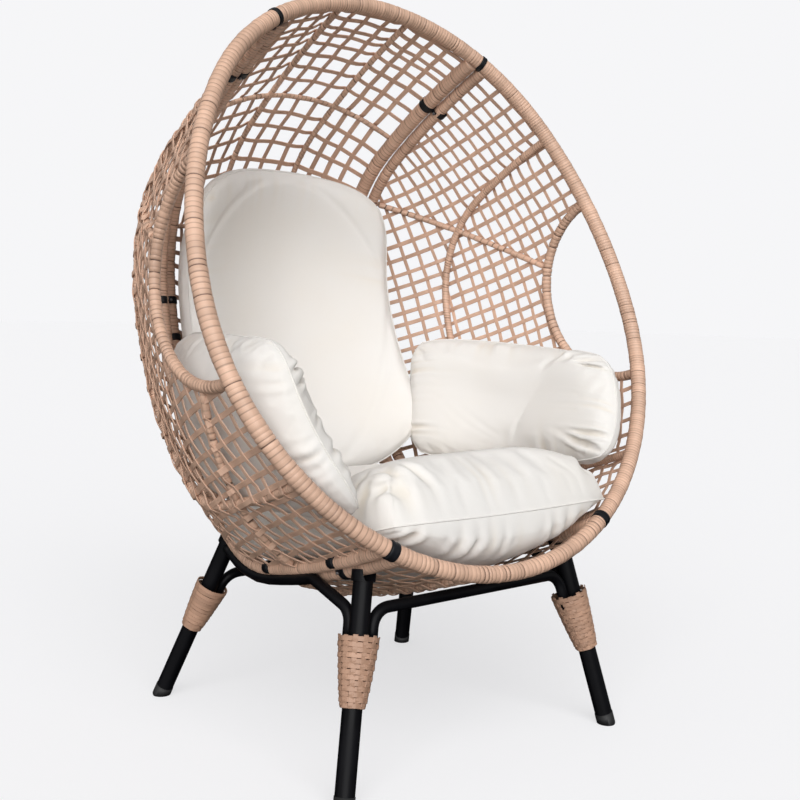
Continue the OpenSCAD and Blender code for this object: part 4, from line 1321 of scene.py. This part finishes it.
def make_cushion(name, node, body, point, fullness, fill, excess, pad):
    """Filled pad of two panels that share a seam. The cover swells and creases in a cloth simulation."""
    n, places = PAD_STEPS, []
    bm = bmesh.new()
    for face in (-1, 1):
        sheet = bmesh.ops.create_grid(bm, x_segments=n, y_segments=n, size=1)["verts"]
        for v in sheet:
            a, b = ease(v.co[0]), ease(v.co[1])
            p, out, top, low = point(a, b)
            rim = abs(v.co[0]) > 0.9999 or abs(v.co[1]) > 0.9999
            swell = 0.0 if rim else pad_swell(a, b, fullness) * (top if face < 0 else low)
            v.co = BASKET @ (p + face * out * swell)
            places.append((v.co.copy(), a, b, face, 0.0 if rim else 1.0))
    edge_sharpness = bm.edges.layers.float.new("crease_edge")
    for e in bm.edges:
        e[edge_sharpness] = 1.0 if e.is_boundary else 0.0
    bmesh.ops.remove_doubles(bm, verts=bm.verts, dist=0.00001)
    bmesh.ops.recalc_face_normals(bm, faces=bm.faces)
    piece = mesh_object(name, bm, cushion_cover)
    mesh = piece.data
    before = [v.co.copy() for v in mesh.vertices]
    seam = seam_points(point)
    swell_cover(piece, seam, excess)
    for v, start in zip(mesh.vertices, before):
        step = v.co - start
        if step.length > 0:
            v.co = start + step * (COVER_CAP[pad] * math.tanh(step.length / COVER_CAP[pad]) / step.length)
    gather_cover(mesh, before, places, pad)
    rounding = piece.modifiers.new("rounding", "SUBSURF")
    rounding.levels = rounding.render_levels = 1
    for f in mesh.polygons:
        f.use_smooth = True
    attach(piece, body)
    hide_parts(node)
    make_welt(name.replace("cover", "welt"), seam, body)


def fold_depth(a, b, fold):
    fold_a, fold_b, face, heading, half_length, half_width, depth = fold
    c, s = math.cos(math.radians(heading)), math.sin(math.radians(heading))
    along, across = (a - fold_a) * c + (b - fold_b) * s, (b - fold_b) * c - (a - fold_a) * s
    across += 0.25 * half_width * math.sin(along * 14)
    if max(abs(along) / half_length, abs(across) / half_width) > 3:
        return 0.0
    hollow = math.exp(-(across / half_width) ** 2)
    ridge = 0.5 * math.exp(-((abs(across) - 2 * half_width) / half_width) ** 2)
    return depth * (hollow - ridge) * math.exp(-(along / half_length) ** 2)


def gather_cover(mesh, before, places, pad):
    """Presses in soft dents and the short creases that run out from a seam."""
    known = {rounded(co, 5): rest for co, *rest in places}
    crease_shade = mesh.attributes.new("crease_shade", "FLOAT", "POINT").data
    mesh.update()
    for v, start in zip(mesh.vertices, before):
        a, b, face, free = known[rounded(start, 5)]
        along, off, side = (b, 1 - abs(a), a) if abs(a) > abs(b) else (a, 1 - abs(b), 2 * b)
        spot = Vector((along * 11, math.copysign(3, side) + face, pad * 5.1 + abs(side) // 1.5))
        some = max(0.0, noise.noise(Vector((along * 2.3, spot[1] * 1.7, pad * 3.3))) + 0.25)
        near = math.exp(-off / CREASE_REACH) * (1 - math.exp(-off / SEAM_HOLD))
        ripple = noise.noise(spot) + 0.5 * noise.noise(spot * 2.1)
        dent = noise.noise(Vector((a * 1.4, b * 1.4, pad * 2.7 + face))) * (1 - math.exp(-off / 0.25))
        folds = [fold_depth(a, b, fold) for fold in FOLDS[pad] if face == fold[2]]
        pinch = sum(folds) * (1 - math.exp(-off / SEAM_HOLD))
        v.co += v.normal * free * (LOOSENESS[pad] * (GATHER * some * near * ripple + DENT * dent) - pinch)
        # Painted shade in the seam creases and pinched folds, for the cover's colour.
        crease_shade[v.index].value = max(0.0, min(1.0, -2.0 * some * near * ripple + 40 * pinch))


def seam_points(point):
    """The seam's own loop, four sides in turn."""
    n = PAD_STEPS
    steps = [ease(2 * i / n - 1) for i in range(n)]
    loop = [(a, -1) for a in steps] + [(1, b) for b in steps]
    loop += [(-a, -b) for a, b in loop]
    return [BASKET @ point(a, b)[0] for a, b in loop]


def make_welt(name, seam, body):
    """Fine stitched ridge along a seam."""
    bm = new_mesh()
    loop = seam + seam[:1]
    centre = sum(seam, Vector()) / len(seam)
    rings = []
    for i, p in enumerate(loop):
        along = (loop[(i + 1) % len(seam)] - loop[i - 1 if i else len(seam) - 1]).normalized()
        rings.append(circle_ring(p, along, square_to(p - centre, along), WELT_R, 6))
    loft(bm, rings)
    finish_piece(name, bm, cushion_cover, slot="cushion_fabric", body=body)


def swell_cover(piece, seam, excess):
    """Blows the cover up with its seam held and some cloth to spare, so that it creases along the seam."""
    held = piece.vertex_groups.new(name="seam")
    spots_held = {rounded(p, 4) for p in seam}
    held.add([v.index for v in piece.data.vertices if rounded(v.co, 4) in spots_held], 1.0, "REPLACE")
    mod = piece.modifiers.new("swell", "CLOTH")
    cloth = mod.settings
    cloth.quality = 5
    cloth.vertex_group_mass = "seam"
    cloth.use_pressure = True
    cloth.uniform_pressure_force = 4.0
    cloth.tension_stiffness = cloth.compression_stiffness = 15
    cloth.bending_stiffness = 0.5
    cloth.shrink_min = -excess
    cloth.effector_weights.gravity = 0
    scene = bpy.context.scene
    for f in range(1, 21):
        scene.frame_set(f)
    settled = piece.evaluated_get(bpy.context.evaluated_depsgraph_get()).data
    moved = [v.co.copy() for v in settled.vertices]
    piece.modifiers.remove(mod)
    piece.vertex_groups.remove(held)
    scene.frame_set(1)
    for v, co in zip(piece.data.vertices, moved):
        v.co = co


def make_cushions():
    make_cushion("back_pad_cover", "back_cushion", "back_pad", back_pad_point, 0.36, 0.8, 0.002, BACK_PAD)
    make_cushion("seat_pad_cover", "seat_cushion", "seat_pad", seat_pad_point, 0.24, 0.8, 0.010, SEAT_PAD)
    for side, word, excess, pad in ((LEFT, "left", 0.018, LEFT_PAD), (RIGHT, "right", 0.008, RIGHT_PAD)):
        names = ("arm_pad_cover_" + word, "arm_cushion_" + word, "arm_pad_" + word)
        make_cushion(*names, arm_pad_point(side), 0.38, 0.6, excess, pad)


# ---- floor, light and camera ----
BACKDROP = (0.985, 0.985, 1.0, 1)
# Name, direction it comes from, strength and spread in degrees
LIGHTS = (
    ("key_light", (-0.6, -0.95, 0.62), 2.85, 70),
    ("sky_light", (0.2, 0.0, 1.0), 0.9, 170),
    ("fill_light", (-1.0, -0.5, 0.0), 1.0, 120),
)


def make_stage():
    paint = bpy.data.materials.new("floor_paint")
    paint.use_nodes = True
    for key, value in (
        ("Base Color", (0.378, 0.378, 0.384, 1)), ("Roughness", 1.0), ("Specular IOR Level", 0.0),
        ("Emission Color", BACKDROP), ("Emission Strength", 0.615),
    ):
        paint.node_tree.nodes["Principled BSDF"].inputs[key].default_value = value
    bm = bmesh.new()
    bmesh.ops.create_grid(bm, x_segments=1, y_segments=1, size=60)
    floor = mesh_object("floor", bm, paint)
    floor.visible_diffuse = floor.visible_glossy = False
    world = bpy.data.worlds.new("studio")
    world.use_nodes = True
    sky = world.node_tree.nodes["Background"].inputs
    sky["Color"].default_value = BACKDROP
    sky["Strength"].default_value = 0.935
    bpy.context.scene.world = world
    world.cycles_visibility.diffuse = world.cycles_visibility.glossy = False
    for name, toward, power, spread in LIGHTS:
        light = bpy.data.lights.new(name, "SUN")
        light.energy, light.angle = power, math.radians(spread)
        lamp = put_in_scene(name, light)
        lamp.rotation_euler = Vector(toward).to_track_quat("Z", "Y").to_euler()


CAMERA_AT = (-1.377, -1.8464, 0.842)
# Azimuth, elevation and roll in degrees
CAMERA_TURN = (-38.939, 4.532, 1.385)
LENS = 47.864


def make_camera():
    azimuth, elevation, roll = (math.radians(a) for a in CAMERA_TURN)
    level_part = math.cos(elevation)
    back = Vector((math.sin(azimuth) * level_part, -math.cos(azimuth) * level_part, math.sin(elevation)))
    level = Vector((math.cos(azimuth), math.sin(azimuth), 0))
    upright = back.cross(level)
    right = level * math.cos(roll) + upright * math.sin(roll)
    up = upright * math.cos(roll) - level * math.sin(roll)
    data = bpy.data.cameras.new("camera")
    data.lens, data.sensor_width, data.sensor_fit = LENS, 36, "HORIZONTAL"
    camera = put_in_scene("camera", data)
    camera.matrix_world = Matrix.Translation(CAMERA_AT) @ Matrix((right, up, back)).transposed().to_4x4()
    bpy.context.scene.camera = camera


make_camera()
make_stage()
make_rim()
make_collars()
make_panel_tubes()
make_side_tubes()
make_weave()
make_clips()
make_stand()
make_sleeves()
make_cushions()
bpy.context.scene.view_settings.view_transform = "Standard"
